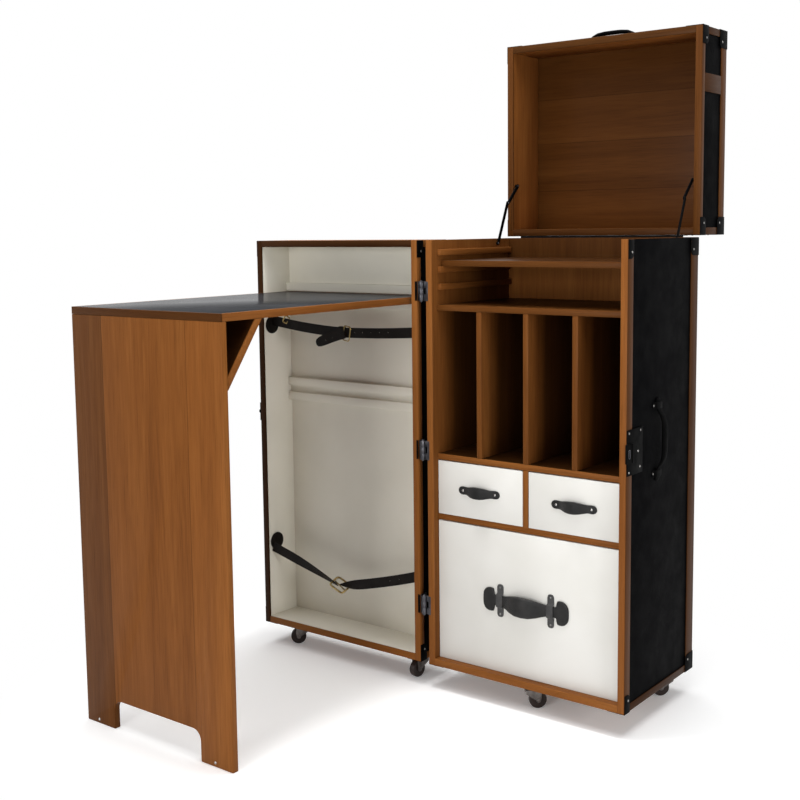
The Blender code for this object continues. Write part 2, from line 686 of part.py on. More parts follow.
handle_strap = arch(HANDLE_LENGTH, HANDLE_RISE, HANDLE_STRAP, HANDLE_WIDTH)
lid_handle_face = LID_FRONT + LEATHER_FACE - SEAT
lid_middle = (LID_RIM + LID_TOP) / 2
lid_handle_levels = (lid_middle - HANDLE_WIDTH / 2, lid_middle + HANDLE_WIDTH / 2)
lid_handle_outline = [(CASE_MIDDLE + at, lid_handle_face - height) for at, height in handle_strap]
piece("lid_handle", "lid", "leather", prism("Z", lid_handle_levels, lid_handle_outline))

# Lid hinge: one long hinge on the back; the case's leaf holds the pin
hinge_across = (CASE_LEFT + LID_HINGE_INSET, CASE_RIGHT - LID_HINGE_INSET)
lid_leaf_depth = (CASE_DEPTH + SEAT, CASE_DEPTH + SEAT + LID_LEAF)
knuckle = (hinge_across[1] - hinge_across[0]) / LID_KNUCKLES
clear_of_barrel = LID_BARREL + KNUCKLE_PLAY
for first, host, way in ((0, "case", -1), (1, "lid", 1)):
    near = LID_AXIS_Z + way * clear_of_barrel
    far = near + way * LID_HINGE_REACH
    parts = [box(hinge_across, lid_leaf_depth, sorted((near, far)))]
    for number in range(first, LID_KNUCKLES, 2):
        start = hinge_across[0] + number * knuckle
        play = KNUCKLE_PLAY * first
        span = (start + play, start + knuckle - play)
        parts.append(box(span, lid_leaf_depth, sorted((LID_AXIS_Z, near + way * LAP))))
        parts.append(cylinder("X", span, LID_AXIS_Y, LID_AXIS_Z, LID_BARREL, 16))
    bores = []
    pin_span = (hinge_across[0] + LAP, hinge_across[1] - LAP)
    if host == "case":
        parts.append(cylinder("X", pin_span, LID_AXIS_Y, LID_AXIS_Z, LID_PIN, 16))
    else:
        bores.append(cylinder("X", hinge_across, LID_AXIS_Y, LID_AXIS_Z, LID_PIN + PIN_PLAY, 16))
    piece("lid_hinge_" + host + "_leaf", host, "metal", fuse(parts, bores))

# Lid stays: two links on each side wall; the elbow follows from the two pivots
stay_case = Vector((CASE_DEPTH - STAY_CASE_FORWARD, TOP - STAY_CASE_DROP))
stay_lid = Vector((LID_AXIS_Y + STAY_LID_BACK, LID_AXIS_Z + STAY_LID_RISE))
stay_span = (stay_lid - stay_case).length
stay_along = (stay_lid - stay_case) / stay_span
stay_share = (STAY_LOWER**2 - STAY_UPPER**2 + stay_span**2) / (2 * stay_span)
stay_bow = math.sqrt(max(STAY_LOWER**2 - stay_share**2, 0.0))
stay_elbow = stay_case + stay_share * stay_along + stay_bow * Vector((-stay_along.y, stay_along.x))


def bar_outline(start, end, steps=8):
    turn = math.atan2(end.y - start.y, end.x - start.x)
    outline = []
    for centre, first in ((end, turn - math.pi / 2), (start, turn + math.pi / 2)):
        for step in range(steps + 1):
            angle = first + math.pi * step / steps
            around = Vector((math.cos(angle), math.sin(angle))) * STAY_BAR / 2
            outline.append(tuple(centre + around))
    return outline


upper_stand = STAY_STAND + STAY_THICKNESS + SEAT
for label, start, end, pivot, stand in (
    ("lower", stay_case, stay_elbow, stay_case, STAY_STAND),
    ("upper", stay_elbow, stay_lid, stay_lid, upper_stand),
):
    body("lid_stay_" + label, (CASE_MIDDLE, pivot.x, pivot.y))
    for side, face, inward in (("left", CASE_INNER[0], 1), ("right", CASE_INNER[1], -1)):
        bar_span = sorted((face + inward * stand, face + inward * (stand + STAY_THICKNESS)))
        boss_span = sorted((face + inward * SEAT, face + inward * (stand + STAY_THICKNESS / 2)))
        bar = prism("X", bar_span, bar_outline(start, end))
        boss = cylinder("X", boss_span, pivot.x, pivot.y, STAY_BAR * 0.4)
        piece("lid_stay_" + label + "_" + side, "lid_stay_" + label, "metal", fuse([bar, boss]))

# Carrying handle and lock on the case's right side, keeper on the door's left side
side_face = CASE_RIGHT - LEATHER_FACE + SEAT
handle_depth = (SIDE_HANDLE_BACK - HANDLE_WIDTH / 2, SIDE_HANDLE_BACK + HANDLE_WIDTH / 2)
side_outline = [(side_face + height, SIDE_HANDLE_HEIGHT + at) for at, height in handle_strap]
piece("side_handle", "case", "leather", prism("Y", handle_depth, side_outline))

plate_face = CASE_RIGHT + SEAT + LOCK_PLATE
plate_outline = [
    (CASE_RIGHT + SEAT, 0.0),
    (plate_face, 0.0),
    (plate_face, LOCK_LONG),
    (side_face, LOCK_LONG),
    (side_face, FRONT_BATTEN + SEAT),
    (CASE_RIGHT + SEAT, FRONT_BATTEN + SEAT),
]
lock_levels = (LOCK_HEIGHT - LOCK_TALL / 2, LOCK_HEIGHT + LOCK_TALL / 2)
piece("lock_plate", "case", "metal", prism("Z", lock_levels, plate_outline))

hasp_axis = (plate_face + SEAT + HASP_BARREL, HASP_OVERHANG + HASP_BARREL)
hasp_levels = (LOCK_HEIGHT - HASP_TALL / 2, LOCK_HEIGHT + HASP_TALL / 2)
body("lock_hasp", (*hasp_axis, LOCK_HEIGHT))
hasp_across = (plate_face + SEAT, plate_face + SEAT + HASP_THICKNESS)
tongue = box(hasp_across, (-HASP_OVERHANG, hasp_axis[1]), hasp_levels)
barrel = cylinder("Z", hasp_levels, *hasp_axis, HASP_BARREL)
piece("lock_hasp", "lock_hasp", "metal", fuse([tongue, barrel]))

keeper_levels = (LOCK_HEIGHT - KEEPER_TALL / 2, LOCK_HEIGHT + KEEPER_TALL / 2)
keeper_across = (DOOR_LEFT - SEAT - LOCK_PLATE, DOOR_LEFT - SEAT)
keeper_plate = box(keeper_across, (0.0, KEEPER_LONG), keeper_levels)
knob_span = (keeper_across[0] - KEEPER_KNOB, keeper_across[1] - LOCK_PLATE / 2)
knob = cylinder("X", knob_span, KEEPER_LONG / 2, LOCK_HEIGHT, KEEPER_KNOB)
piece("lock_keeper", "door", "metal", fuse([keeper_plate, knob]))

# Casters: a swivelling fork with its axle and bearing, and a wheel on the axle
axle_height = WHEEL_RADIUS * math.cos(math.pi / WHEEL_SIDES)
half_wheel = WHEEL_WIDTH / 2
fork_inside = half_wheel + RUN
fork_outside = fork_inside + FORK_SHEET
fork_roof = WHEEL_RADIUS + 2 * RUN
fork_low = -AXLE * 1.6
fork_section = [
    (-fork_outside, fork_low),
    (-fork_outside, fork_roof + FORK_SHEET),
    (fork_outside, fork_roof + FORK_SHEET),
    (fork_outside, fork_low),
    (fork_inside, fork_low),
    (fork_inside, fork_roof),
    (-fork_inside, fork_roof),
    (-fork_inside, fork_low),
]
wheel_bore = AXLE + PIN_PLAY
wheel_profile = [
    (wheel_bore, -half_wheel),
    (WHEEL_RADIUS - WHEEL_EDGE, -half_wheel),
    (WHEEL_RADIUS, -half_wheel + WHEEL_EDGE),
    (WHEEL_RADIUS, half_wheel - WHEEL_EDGE),
    (WHEEL_RADIUS - WHEEL_EDGE, half_wheel),
    (wheel_bore, half_wheel),
]
door_middle = DOOR_DEPTH / 2
rear_line = CASE_DEPTH - REAR_CASTER_INSET
for label, host, x, y, turn in (
    ("case_front", "case", CASE_MIDDLE, FRONT_CASTER_INSET, FRONT_CASTER_TURN),
    ("case_rear_right", "case", CASE_RIGHT - SIDE_CASTER_INSET, rear_line, REAR_CASTER_TURN),
    ("case_rear_left", "case", CASE_LEFT + SIDE_CASTER_INSET, rear_line, REAR_CASTER_TURN),
    ("door_left", "door", DOOR_LEFT + DOOR_LEFT_CASTER_INSET, door_middle, DOOR_LEFT_CASTER_TURN),
    ("door_right", "door", DOOR_RIGHT - DOOR_RIGHT_CASTER_INSET, door_middle, DOOR_RIGHT_CASTER_TURN),
):
    trail = Vector((TRAIL * math.cos(turn), TRAIL * math.sin(turn), axle_height))
    wheel_centre = Vector((x, y, 0.0)) + trail
    place = Matrix.Translation(wheel_centre) @ Matrix.Rotation(turn, 4, "Z")
    stirrup = prism("X", (-TRAIL - fork_inside, AXLE * 2), fork_section)
    axle = cylinder("Y", (-fork_inside - FORK_SHEET / 2, fork_inside + FORK_SHEET / 2), 0.0, 0.0, AXLE)
    bearing = cylinder("Z", (fork_roof + FORK_SHEET / 2, BASE - SEAT - axle_height), -TRAIL, 0.0, fork_inside)
    fork = fuse([stirrup, axle, bearing])
    bmesh.ops.transform(fork, matrix=place, verts=fork.verts[:])
    body("caster_" + label, (x, y, axle_height))
    piece("caster_fork_" + label, "caster_" + label, "metal", fork)
    wheel = turned(wheel_profile, WHEEL_SIDES)
    bmesh.ops.transform(wheel, matrix=place, verts=wheel.verts[:])
    body("wheel_" + label, wheel_centre)
    piece("caster_wheel_" + label, "wheel_" + label, "wheel", wheel)

# The trunk's origin: middle of its outer box, on the floor
bpy.context.view_layer.update()
corners = [
    made.matrix_world @ Vector(corner)
    for made in bpy.data.objects
    if made.type == "MESH"
    for corner in made.bound_box
]
low = Vector([min(corner[index] for corner in corners) for index in range(3)])
high = Vector([max(corner[index] for corner in corners) for index in range(3)])
ROOT.location = (-(low.x + high.x) / 2, -(low.y + high.y) / 2, -low.z)
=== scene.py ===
import json
import math

import bpy
from mathutils import Matrix, Vector

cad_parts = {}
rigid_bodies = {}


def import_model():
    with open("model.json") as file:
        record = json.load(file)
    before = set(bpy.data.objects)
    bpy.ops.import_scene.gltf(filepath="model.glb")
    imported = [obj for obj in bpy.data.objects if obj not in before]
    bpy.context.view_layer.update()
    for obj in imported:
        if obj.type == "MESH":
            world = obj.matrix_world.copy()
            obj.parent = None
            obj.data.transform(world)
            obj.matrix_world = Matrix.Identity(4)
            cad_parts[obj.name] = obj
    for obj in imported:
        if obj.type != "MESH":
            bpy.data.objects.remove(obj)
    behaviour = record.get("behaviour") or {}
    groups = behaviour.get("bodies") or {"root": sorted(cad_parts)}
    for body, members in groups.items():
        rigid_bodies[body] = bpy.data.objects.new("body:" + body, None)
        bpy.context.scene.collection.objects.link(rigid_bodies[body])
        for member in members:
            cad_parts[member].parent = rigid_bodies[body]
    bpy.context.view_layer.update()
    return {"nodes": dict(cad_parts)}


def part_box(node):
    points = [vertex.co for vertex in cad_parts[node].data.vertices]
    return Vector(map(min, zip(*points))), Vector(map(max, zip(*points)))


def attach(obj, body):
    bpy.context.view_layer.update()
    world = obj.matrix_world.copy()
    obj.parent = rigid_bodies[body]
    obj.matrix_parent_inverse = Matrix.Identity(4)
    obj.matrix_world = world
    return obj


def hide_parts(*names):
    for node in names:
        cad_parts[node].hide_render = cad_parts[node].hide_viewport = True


for leftover in list(bpy.data.objects):
    bpy.data.objects.remove(leftover, do_unlink=True)
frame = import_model()

# Case boards: stained plywood, glued and pinned into a box that is open at the front and top.
# The sides carry three pairs of hardwood runners for the loose shelf.
SEAT = 0.0003
EASE = 0.0008
RUNNERS = 3
RUNNER_HEIGHT = 0.016
RUNNER_STEP = 0.044
RUNNER_FRONT = 0.026
RUNNER_EASE = 0.0015
AXES = "XYZ"
GRAIN_STRETCH = 0.05
PORE_STRETCH = 0.012
WOOD_STAIN = ((0.28, (0.138, 0.045, 0.0098)), (0.50, (0.205, 0.071, 0.016)), (0.70, (0.262, 0.098, 0.024)))
GLUE_LINE = (0.0002, 0.0014)
GLUE_SHADE = 0.55


def add_node(tree, kind, settings=(), **sockets):
    """A shader node with its settings, its constant sockets and its links in one call."""
    made = tree.nodes.new(kind)
    for name, value in dict(settings).items():
        setattr(made, name, value)
    for name, value in sockets.items():
        socket = made.inputs[int(name[1:])] if name[1:].isdigit() else made.inputs[name.replace("_", " ")]
        if isinstance(value, bpy.types.NodeSocket):
            tree.links.new(value, socket)
        else:
            socket.default_value = value
    return made


def new_finish(name):
    """An empty node material: the material, its tree and the piece's own coordinates."""
    material = bpy.data.materials.new(name)
    material.use_nodes = True
    tree = material.node_tree
    return material, tree, add_node(tree, "ShaderNodeTexCoord").outputs["Object"]


def reckon(tree, operation, *values):
    """A math node's result on numbers or links."""
    sockets = {f"_{index}": value for index, value in enumerate(values)}
    return add_node(tree, "ShaderNodeMath", {"operation": operation}, **sockets).outputs[0]


def remap(tree, value, start, end, low, high, ease="LINEAR"):
    """A value with the range from start to end brought to the range from low to high."""
    return add_node(
        tree, "ShaderNodeMapRange", {"interpolation_type": ease},
        Value=value, From_Min=start, From_Max=end, To_Min=low, To_Max=high,
    ).outputs[0]


def noise(tree, place, scale, detail, roughness=0.5, distortion=0.0):
    """Cloudy noise."""
    return add_node(
        tree, "ShaderNodeTexNoise",
        Vector=place, Scale=scale, Detail=detail, Roughness=roughness, Distortion=distortion,
    ).outputs[0]


def along_grain(tree, place, grain, stretch, seed=0.0):
    """Coordinates drawn out along the axis that the grain follows."""
    scale = [stretch if axis == grain else 1.0 for axis in AXES]
    shift = (seed, seed * 1.7, seed * 0.6)
    return add_node(tree, "ShaderNodeMapping", Vector=place, Scale=scale, Location=shift).outputs[0]


def ramp(tree, value, *stops):
    """A colour ramp from (position, colour) stops."""
    made = add_node(tree, "ShaderNodeValToRGB", Fac=value)
    while len(made.color_ramp.elements) < len(stops):
        made.color_ramp.elements.new(1.0)
    for element, (position, colour) in zip(made.color_ramp.elements, stops):
        element.position = position
        element.color = (*colour, 1.0)
    return made.outputs["Color"]


def coat(tree, colour, rough, bump=None, **constants):
    """Joins colour, roughness and bump (its height, strength and distance) to the surface."""
    surface = tree.nodes["Principled BSDF"]
    tree.links.new(colour, surface.inputs["Base Color"])
    tree.links.new(rough, surface.inputs["Roughness"])
    if bump:
        height, strength, distance = bump
        made = add_node(tree, "ShaderNodeBump", Height=height, Strength=strength, Distance=distance)
        tree.links.new(made.outputs[0], surface.inputs["Normal"])
    for name, value in constants.items():
        surface.inputs[name.replace("_", " ")].default_value = value


def wood(name, grain, seed=0.0, boards=None, tone=1.0, inner=None):
    """Stained hardwood under satin varnish. Grain is the axis it runs along; boards, if given,
    are the axis, the places of the glue lines between the boards of a panel, and each board's tone;
    where a caller uses these tones as painted shade, a glue line is drawn at the shade's edge too.
    Inner, if given, is painted shade: where the darkening starts and ends from front to back, its
    tone and the level it stays under."""
    material, tree, place = new_finish(name)
    parts = add_node(tree, "ShaderNodeSeparateXYZ", Vector=place).outputs
    shades = []
    # Painted shade: darker towards the back, below the given level.
    if inner:
        start, end, inner_painted_shade_tone, level = inner
        depth = remap(tree, parts["Y"], start, end, 0.0, 1.0 - inner_painted_shade_tone, "SMOOTHSTEP")
        loss = reckon(tree, "MULTIPLY", depth, reckon(tree, "LESS_THAN", parts["Z"], level))
        shades.append(reckon(tree, "SUBTRACT", 1.0, loss))
    if boards:
        axis, seams, tones = boards
        step, board_tone = 0.0, tones[0]
        for seam, before, after in zip(seams, tones, tones[1:]):
            beyond = reckon(tree, "GREATER_THAN", parts[axis], seam)
            step = reckon(tree, "ADD", beyond, step)
            board_tone = reckon(tree, "MULTIPLY_ADD", beyond, after - before, board_tone)
            off = reckon(tree, "ABSOLUTE", reckon(tree, "SUBTRACT", parts[axis], seam))
            shades.append(remap(tree, off, *GLUE_LINE, GLUE_SHADE, 1.0))
        shades.append(board_tone)
        moved = add_node(tree, "ShaderNodeCombineXYZ", X=step, Y=step, Z=step).outputs[0]
        place = add_node(tree, "ShaderNodeVectorMath", _0=place, _1=moved).outputs[0]
    lay = along_grain(tree, place, grain, GRAIN_STRETCH, seed)
    fine = along_grain(tree, place, grain, PORE_STRETCH, seed)
    figure = noise(tree, lay, 13.0, 4.0, 0.55, 0.9)
    streak = noise(tree, lay, 95.0, 5.0, 0.6, 0.3)
    blend = add_node(tree, "ShaderNodeMix", Factor=0.38, A=figure, B=streak).outputs[0]
    colour = ramp(tree, blend, *[(at, [part * tone for part in stain]) for at, stain in WOOD_STAIN])
    pores = remap(tree, noise(tree, fine, 900.0, 2.0), 0.32, 0.5, 0.72, 1.0)
    for shade in shades:
        pores = reckon(tree, "MULTIPLY", pores, shade)
    shaded = add_node(tree, "ShaderNodeVectorMath", {"operation": "SCALE"}, _0=colour, Scale=pores).outputs[0]
    rough = remap(tree, streak, 0.3, 0.7, 0.46, 0.34)
    gloss = {"Specular_IOR_Level": 0.04, "Coat_Weight": 0.015, "Coat_Roughness": 0.2}
    coat(tree, shaded, rough, (pores, 0.25, 0.0003), **gloss)
    return material


wood_upright = wood("stained_wood_upright", "Z")
wood_across = wood("stained_wood_across", "X", 3.1)
wood_deep = wood("stained_wood_front_to_back", "Y", 5.3)
# Painted shade on the back board: its tone changes by height, darkest behind the pigeonholes and above 1.125
# m, nearly full in the compartment just over the pigeonholes; glue lines are drawn at these heights.
BACK_LEVELS = (0.62, 1.01, 1.125)
BACK_PAINTED_SHADE = (0.5, 0.2, 0.9, 0.31)
wood_back_painted_shade = wood("stained_wood_back_painted_shade", "Z", 6.1, ("Z", BACK_LEVELS, BACK_PAINTED_SHADE))


def eased(made, width, steps=2):
    """Takes the sharp edges off a piece, as sandpaper or a file does."""
    bpy.context.view_layer.objects.active = made
    bevel = made.modifiers.new("ease", "BEVEL")
    bevel.width = width
    bevel.segments = steps
    bevel.limit_method = "ANGLE"
    bevel.angle_limit = math.radians(35)
    bpy.ops.object.modifier_apply(modifier=bevel.name)
    bpy.ops.object.shade_smooth_by_angle(angle=math.radians(40))
    return made


def block(name, low, high):
    """A square block from corner to corner."""
    low, high = Vector(low), Vector(high)
    bpy.ops.mesh.primitive_cube_add(size=1.0, location=(low + high) / 2)
    made = bpy.context.object
    made.name = name
    made.scale = high - low
    bpy.ops.object.transform_apply()
    return made


def board(name, low, high, ease=EASE):
    """A board sawn to its place, with its edges eased."""
    return eased(block(name, low, high), ease)


def fit(made, body, slot, finish, *stands_for):
    """Gives a piece its finish and the body it moves with."""
    made.data.materials.clear()
    made.data.materials.append(finish)
    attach(made, body)
    if stands_for:
        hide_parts(*stands_for)
    return made


def dress(node, finish):
    """A CAD solid that shows as it is gets its finish."""
    frame["nodes"][node].data.materials.clear()
    frame["nodes"][node].data.materials.append(finish)


def copy_of(pattern, name, place):
    """A copy of a piece with its own mesh, turned, moved or mirrored into its place."""
    made = pattern.copy()
    made.data = pattern.data.copy()
    made.name = name
    made.data.transform(place)
    if place.determinant() < 0.0:
        made.data.flip_normals()
    bpy.context.scene.collection.objects.link(made)
    return made


def put_away(*patterns):
    """Removes the pieces that others were copied from."""
    for pattern in patterns:
        bpy.data.objects.remove(pattern, do_unlink=True)


case_low, case_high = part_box("case_battens")
inner_low, inner_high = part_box("case_bottom")
loose_low, loose_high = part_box("pull_out_shelf")
# Painted shade inside the pigeonholes: below the top shelf, the case sides and the dividers darken to 0.42 of
# their tone from 74 mm to 110 mm behind the case front.
PAINTED_SHADE_INSIDE_DEPTHS = (0.074, 0.110)
PAINTED_SHADE_INSIDE_TONE = 0.42
hole_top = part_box("pigeonhole_top_shelf")[0].z
painted_shade_inside = (case_low.y + PAINTED_SHADE_INSIDE_DEPTHS[0], case_low.y + PAINTED_SHADE_INSIDE_DEPTHS[1], PAINTED_SHADE_INSIDE_TONE, hole_top)
wood_side_painted_shade = wood("stained_case_side_painted_shade", "Z", 1.1, tone=0.74, inner=painted_shade_inside)
runner_low = loose_low.z - SEAT - RUNNER_HEIGHT - RUNNER_STEP
for side, inner in (("left", inner_low.x - SEAT), ("right", inner_high.x + SEAT)):
    node = f"case_{side}_side"
    low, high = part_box(node)
    outer, tip = (low.x, high.x) if side == "left" else (high.x, low.x)
    across = sorted((outer, inner))
    plank = board(f"{node}_board", (across[0], low.y, low.z), (across[1], high.y, high.z))
    fit(plank, "case", "wood", wood_side_painted_shade, node)
    across = sorted((inner, tip))
    near, far = case_low.y + RUNNER_FRONT, inner_high.y
    lower, upper = (across[0], near, runner_low), (across[1], far, runner_low + RUNNER_HEIGHT)
    runner = board("runner", lower, upper, RUNNER_EASE)
    for number in range(RUNNERS):
        rise = Matrix.Translation((0.0, 0.0, number * RUNNER_STEP))
        fit(copy_of(runner, f"shelf_runner_{side}_{number + 1}", rise), "case", "wood", wood_deep)
    put_away(runner)
dress("case_back", wood_back_painted_shade)
dress("case_bottom", wood_across)

# Covering: thin black grained leather, glued to the outside of the boards of all three boxes.
# It is cut in flat panels, and the wooden strips and the corner caps hold down its edges.
LEATHER = 0.002
LEATHER_EASE = 0.0006
LEATHER_BLACK = (0.0022, 0.0022, 0.0025)
LEATHER_WORN = (0.0046, 0.0046, 0.0048)


def leather(name, dark, worn, grain=650.0, roughness=0.44, shine=0.006):
    """Grained leather: small pebbles between fine creases, a little worn where it stands up."""
    material, tree, place = new_finish(name)
    pebble = add_node(
        tree, "ShaderNodeTexVoronoi", {"feature": "DISTANCE_TO_EDGE"},
        Vector=place, Scale=grain, Randomness=1.0,
    ).outputs[0]
    crease = remap(tree, pebble, 0.0, 0.22, 0.0, 1.0)
    cloud = noise(tree, place, 22.0, 4.0, 0.6)
    rough = remap(tree, cloud, 0.3, 0.7, roughness + 0.06, roughness - 0.06)
    colour = ramp(tree, cloud, (0.38, dark), (0.72, worn))
    coat(tree, colour, rough, (crease, 0.3, 0.00035), Specular_IOR_Level=shine)
    return material


black_leather = leather("black_grained_leather", LEATHER_BLACK, LEATHER_WORN)
for half in ("case", "door", "lid"):
    low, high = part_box(f"{half}_leather")
    left, right, rear = low.x + LEATHER, high.x - LEATHER, high.y - LEATHER
    panels = [
        ("left", low, (left, high.y, high.z)),
        ("right", (right, low.y, low.z), high),
        ("back", (left, rear, low.z), (right, high.y, high.z)),
    ]
    if half == "lid":
        panels += [
            ("lower", (left, low.y, low.z), (right, rear, low.z + LEATHER)),
            ("upper", (left, low.y, high.z - LEATHER), (right, rear, high.z)),
        ]
    for side, start, end in panels:
        panel = board(f"{half}_leather_{side}", start, end, LEATHER_EASE)
        fit(panel, half, "black_leather", black_leather, f"{half}_leather")

# Case edge strips: hardwood mouldings glued over the corners and along the floor's edges.
# The front ones are L-shaped and also cover the ends of the boards.
WALL = 0.018
STRIP = 0.0045
BATTEN = 0.0025
SIDE_STRIP = 0.028
BACK_STRIP = 0.040


def on_axis(axis, along, across, up):
    """A point from its place along an axis and on the two other axes in order."""
    if axis == "X":
        return Vector((along, across, up))
    if axis == "Y":
        return Vector((across, along, up))
    return Vector((across, up, along))


def moulding(name, axis, span, outline, ease=EASE):
    """An outline drawn out along an axis, with its edges eased."""
    bpy.ops.mesh.primitive_circle_add(vertices=len(outline), fill_type="NGON")
    made = bpy.context.object
    made.name = name
    for corner, (across, up) in zip(made.data.vertices, outline):
        corner.co = on_axis(axis, span[0], across, up)
    bpy.ops.object.mode_set(mode="EDIT")
    bpy.ops.mesh.select_all(action="SELECT")
    run = on_axis(axis, span[1] - span[0], 0.0, 0.0)
    bpy.ops.mesh.extrude_region_move(TRANSFORM_OT_translate={"value": run})
    bpy.ops.mesh.select_all(action="SELECT")
    bpy.ops.mesh.normals_make_consistent(inside=False)
    bpy.ops.object.mode_set(mode="OBJECT")
    return eased(made, ease)


def corner_strip(name, axis, span, corner, arms, thick):
    """An L-shaped strip over an edge: each arm lies on one face, with its own length and thickness."""
    (first, second), (arm_one, arm_two), (one, two) = corner, arms, thick
    one = math.copysign(one, arm_two)
    two = math.copysign(two, arm_one)
    outline = [
        (first, second),
        (first + arm_one, second),
        (first + arm_one, second + one),
        (first + two, second + one),
        (first + two, second + arm_two),
        (first, second + arm_two),
    ]
    return moulding(name, axis, span, outline)


def upright_strips(half, low, high, side_arm, back_arm, finishes, rear_finish):
    """The L-shaped strips on the four upright edges of a half."""
    span = (low.z, high.z)
    for side, edge, inward, finish in zip(("left", "right"), (low.x, high.x), (1, -1), finishes):
        front_arms = (inward * WALL, side_arm)
        front = corner_strip(
            f"{half}_front_strip_{side}", "Z", span, (edge, low.y), front_arms, (STRIP, BATTEN)
        )
        fit(front, half, "wood", finish, f"{half}_battens")
        rear_arms = (inward * side_arm, -back_arm)
        rear = corner_strip(
            f"{half}_rear_strip_{side}", "Z", span, (edge, high.y), rear_arms, (BATTEN, BATTEN)
        )
        fit(rear, half, "wood", rear_finish)


def level_strips(half, level, low, high, start, side_arm, back_arm, **finishes):
    """The flat strips between the upright ones, on the named sides of a half."""
    spans = {
        "front": (low.x + WALL, high.x - WALL, low.y, low.y + STRIP),
        "back": (low.x + side_arm, high.x - side_arm, high.y - BATTEN, high.y),
        "left": (low.x, low.x + BATTEN, low.y + side_arm, high.y - back_arm),
        "right": (high.x - BATTEN, high.x, low.y + side_arm, high.y - back_arm),
    }
    for place, finish in finishes.items():
        left, right, near, far = spans[place]
        strip = board(f"{half}_{level}_strip_{place}", (left, near, start), (right, far, start + WALL))
        fit(strip, half, "wood", finish)


wood_foot = wood("stained_bottom_strip", "Y", 6.6, tone=0.2)
# Painted shade: the case's rear strips are much darker than its front strips.
wood_rear_painted_shade = wood("stained_rear_strip_painted_shade", "Z", 3.7, tone=0.28)
# Painted shade on the case's right front strip: its outer side face, within EDGE_DEPTH of it, is darker and
# the rest a little lighter; a glue line runs along that edge.
EDGE_DEPTH = 0.0004
wood_edge_painted_shade = wood("stained_right_strip_painted_shade", "Z", 2.2, ("X", (case_high.x - EDGE_DEPTH,), (1.08, 0.62)))
case_strips = (SIDE_STRIP, BACK_STRIP)
upright_strips("case", case_low, case_high, *case_strips, (wood_upright, wood_edge_painted_shade), wood_rear_painted_shade)
level_strips(
    "case", "bottom", case_low, case_high, case_low.z, *case_strips,
    left=wood_foot, right=wood_foot, front=wood_across, back=wood_across,
)
level_strips("case", "top", case_low, case_high, case_high.z - WALL, *case_strips, back=wood_across)

# Pigeonholes and shelves: solid boards let into the sides, with plain square edges.
# The rail and post between the drawers are halved together.
SHELF = 0.015
SHELF_EASE = 0.001
# Painted shade: the dividers darken inside the pigeonholes like the case sides.
wood_divider_painted_shade = wood("stained_divider_boards_painted_shade", "Z", 2.9, tone=0.7, inner=painted_shade_inside)
# Painted shade on the pigeonhole floor, the top shelf and the loose shelf: behind their front 3 mm they are
# much darker, and a glue line is drawn there.
SHELF_EDGE = 0.003
floor_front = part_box("pigeonhole_floor")[0].y + SHELF_EDGE
wood_floor_painted_shade = wood("stained_pigeonhole_floor_painted_shade", "X", 1.3, ("Y", (floor_front,), (0.95, 0.1)))
shelf_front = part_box("pigeonhole_top_shelf")[0].y + SHELF_EDGE
wood_shelf_painted_shade = wood("stained_top_shelf_painted_shade", "X", 7.1, ("Y", (shelf_front,), (0.58, 0.36)))
wood_loose_painted_shade = wood("stained_loose_shelf_painted_shade", "X", 3.9, ("Y", (loose_low.y + SHELF_EDGE,), (0.48, 0.15)))
for node, finish in (
    ("pigeonhole_floor", wood_floor_painted_shade),
    ("pigeonhole_top_shelf", wood_shelf_painted_shade),
    ("pigeonhole_divider_left", wood_divider_painted_shade),
    ("pigeonhole_divider_middle", wood_divider_painted_shade),
    ("pigeonhole_divider_right", wood_divider_painted_shade),
):
    fit(board(f"{node}_board", *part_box(node), SHELF_EASE), "case", "wood", finish, node)
loose = board("loose_shelf_board", loose_low, loose_high, SHELF_EASE)
fit(loose, "pull_out_shelf", "wood", wood_loose_painted_shade, "pull_out_shelf")
low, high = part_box("drawer_frame")
rail_top = low.z + SHELF
post_left = (low.x + high.x - SHELF) / 2
rail = board("drawer_rail", low, (high.x, high.y, rail_top), SHELF_EASE)
fit(rail, "case", "wood", wood_across, "drawer_frame")
post = board("drawer_post", (post_left, low.y, rail_top), (post_left + SHELF, high.y, high.z), SHELF_EASE)
fit(post, "case", "wood", wood_upright)

# Drawers: off-white leathercloth glued over the fronts, and plain birch trays behind them.
# Each tray is open at the top and slides between the boards of the case.
DRAWER_FRONT = 0.016
FRONT_EASE = 0.0015
TRAY_SIDE = 0.010
TRAY_BOTTOM = 0.006
TRAY_DROP = 0.014
OFF_WHITE = (0.70, 0.69, 0.655)
OFF_WHITE_SHADE = (0.645, 0.635, 0.595)
BIRCH_PALE = (0.50, 0.36, 0.21)
BIRCH_DARK = (0.40, 0.27, 0.14)


def leathercloth(name, light, shade, grain):
    """Pale coated cloth glued to a board: a fine even grain, hardly any change of tone."""
    material, tree, place = new_finish(name)
    pebble = noise(tree, place, grain, 2.0)
    colour = ramp(tree, noise(tree, place, 5.0, 3.0), (0.35, shade), (0.65, light))
    coat(tree, colour, remap(tree, pebble, 0.0, 1.0, 0.46, 0.6), (pebble, 0.2, 0.0002))
    return material


def birch(name, grain):
    """Bare pale birch with fine streaks along the grain."""
    material, tree, place = new_finish(name)
    streak = noise(tree, along_grain(tree, place, grain, GRAIN_STRETCH), 70.0, 5.0)
    colour = ramp(tree, streak, (0.35, BIRCH_DARK), (0.62, BIRCH_PALE))
    coat(tree, colour, remap(tree, streak, 0.0, 1.0, 0.5, 0.7), (streak, 0.1, 0.0003))
    return material


white_cloth = leathercloth("off_white_leathercloth", OFF_WHITE, OFF_WHITE_SHADE, grain=1400.0)
pale_birch = birch("pale_birch", "Y")


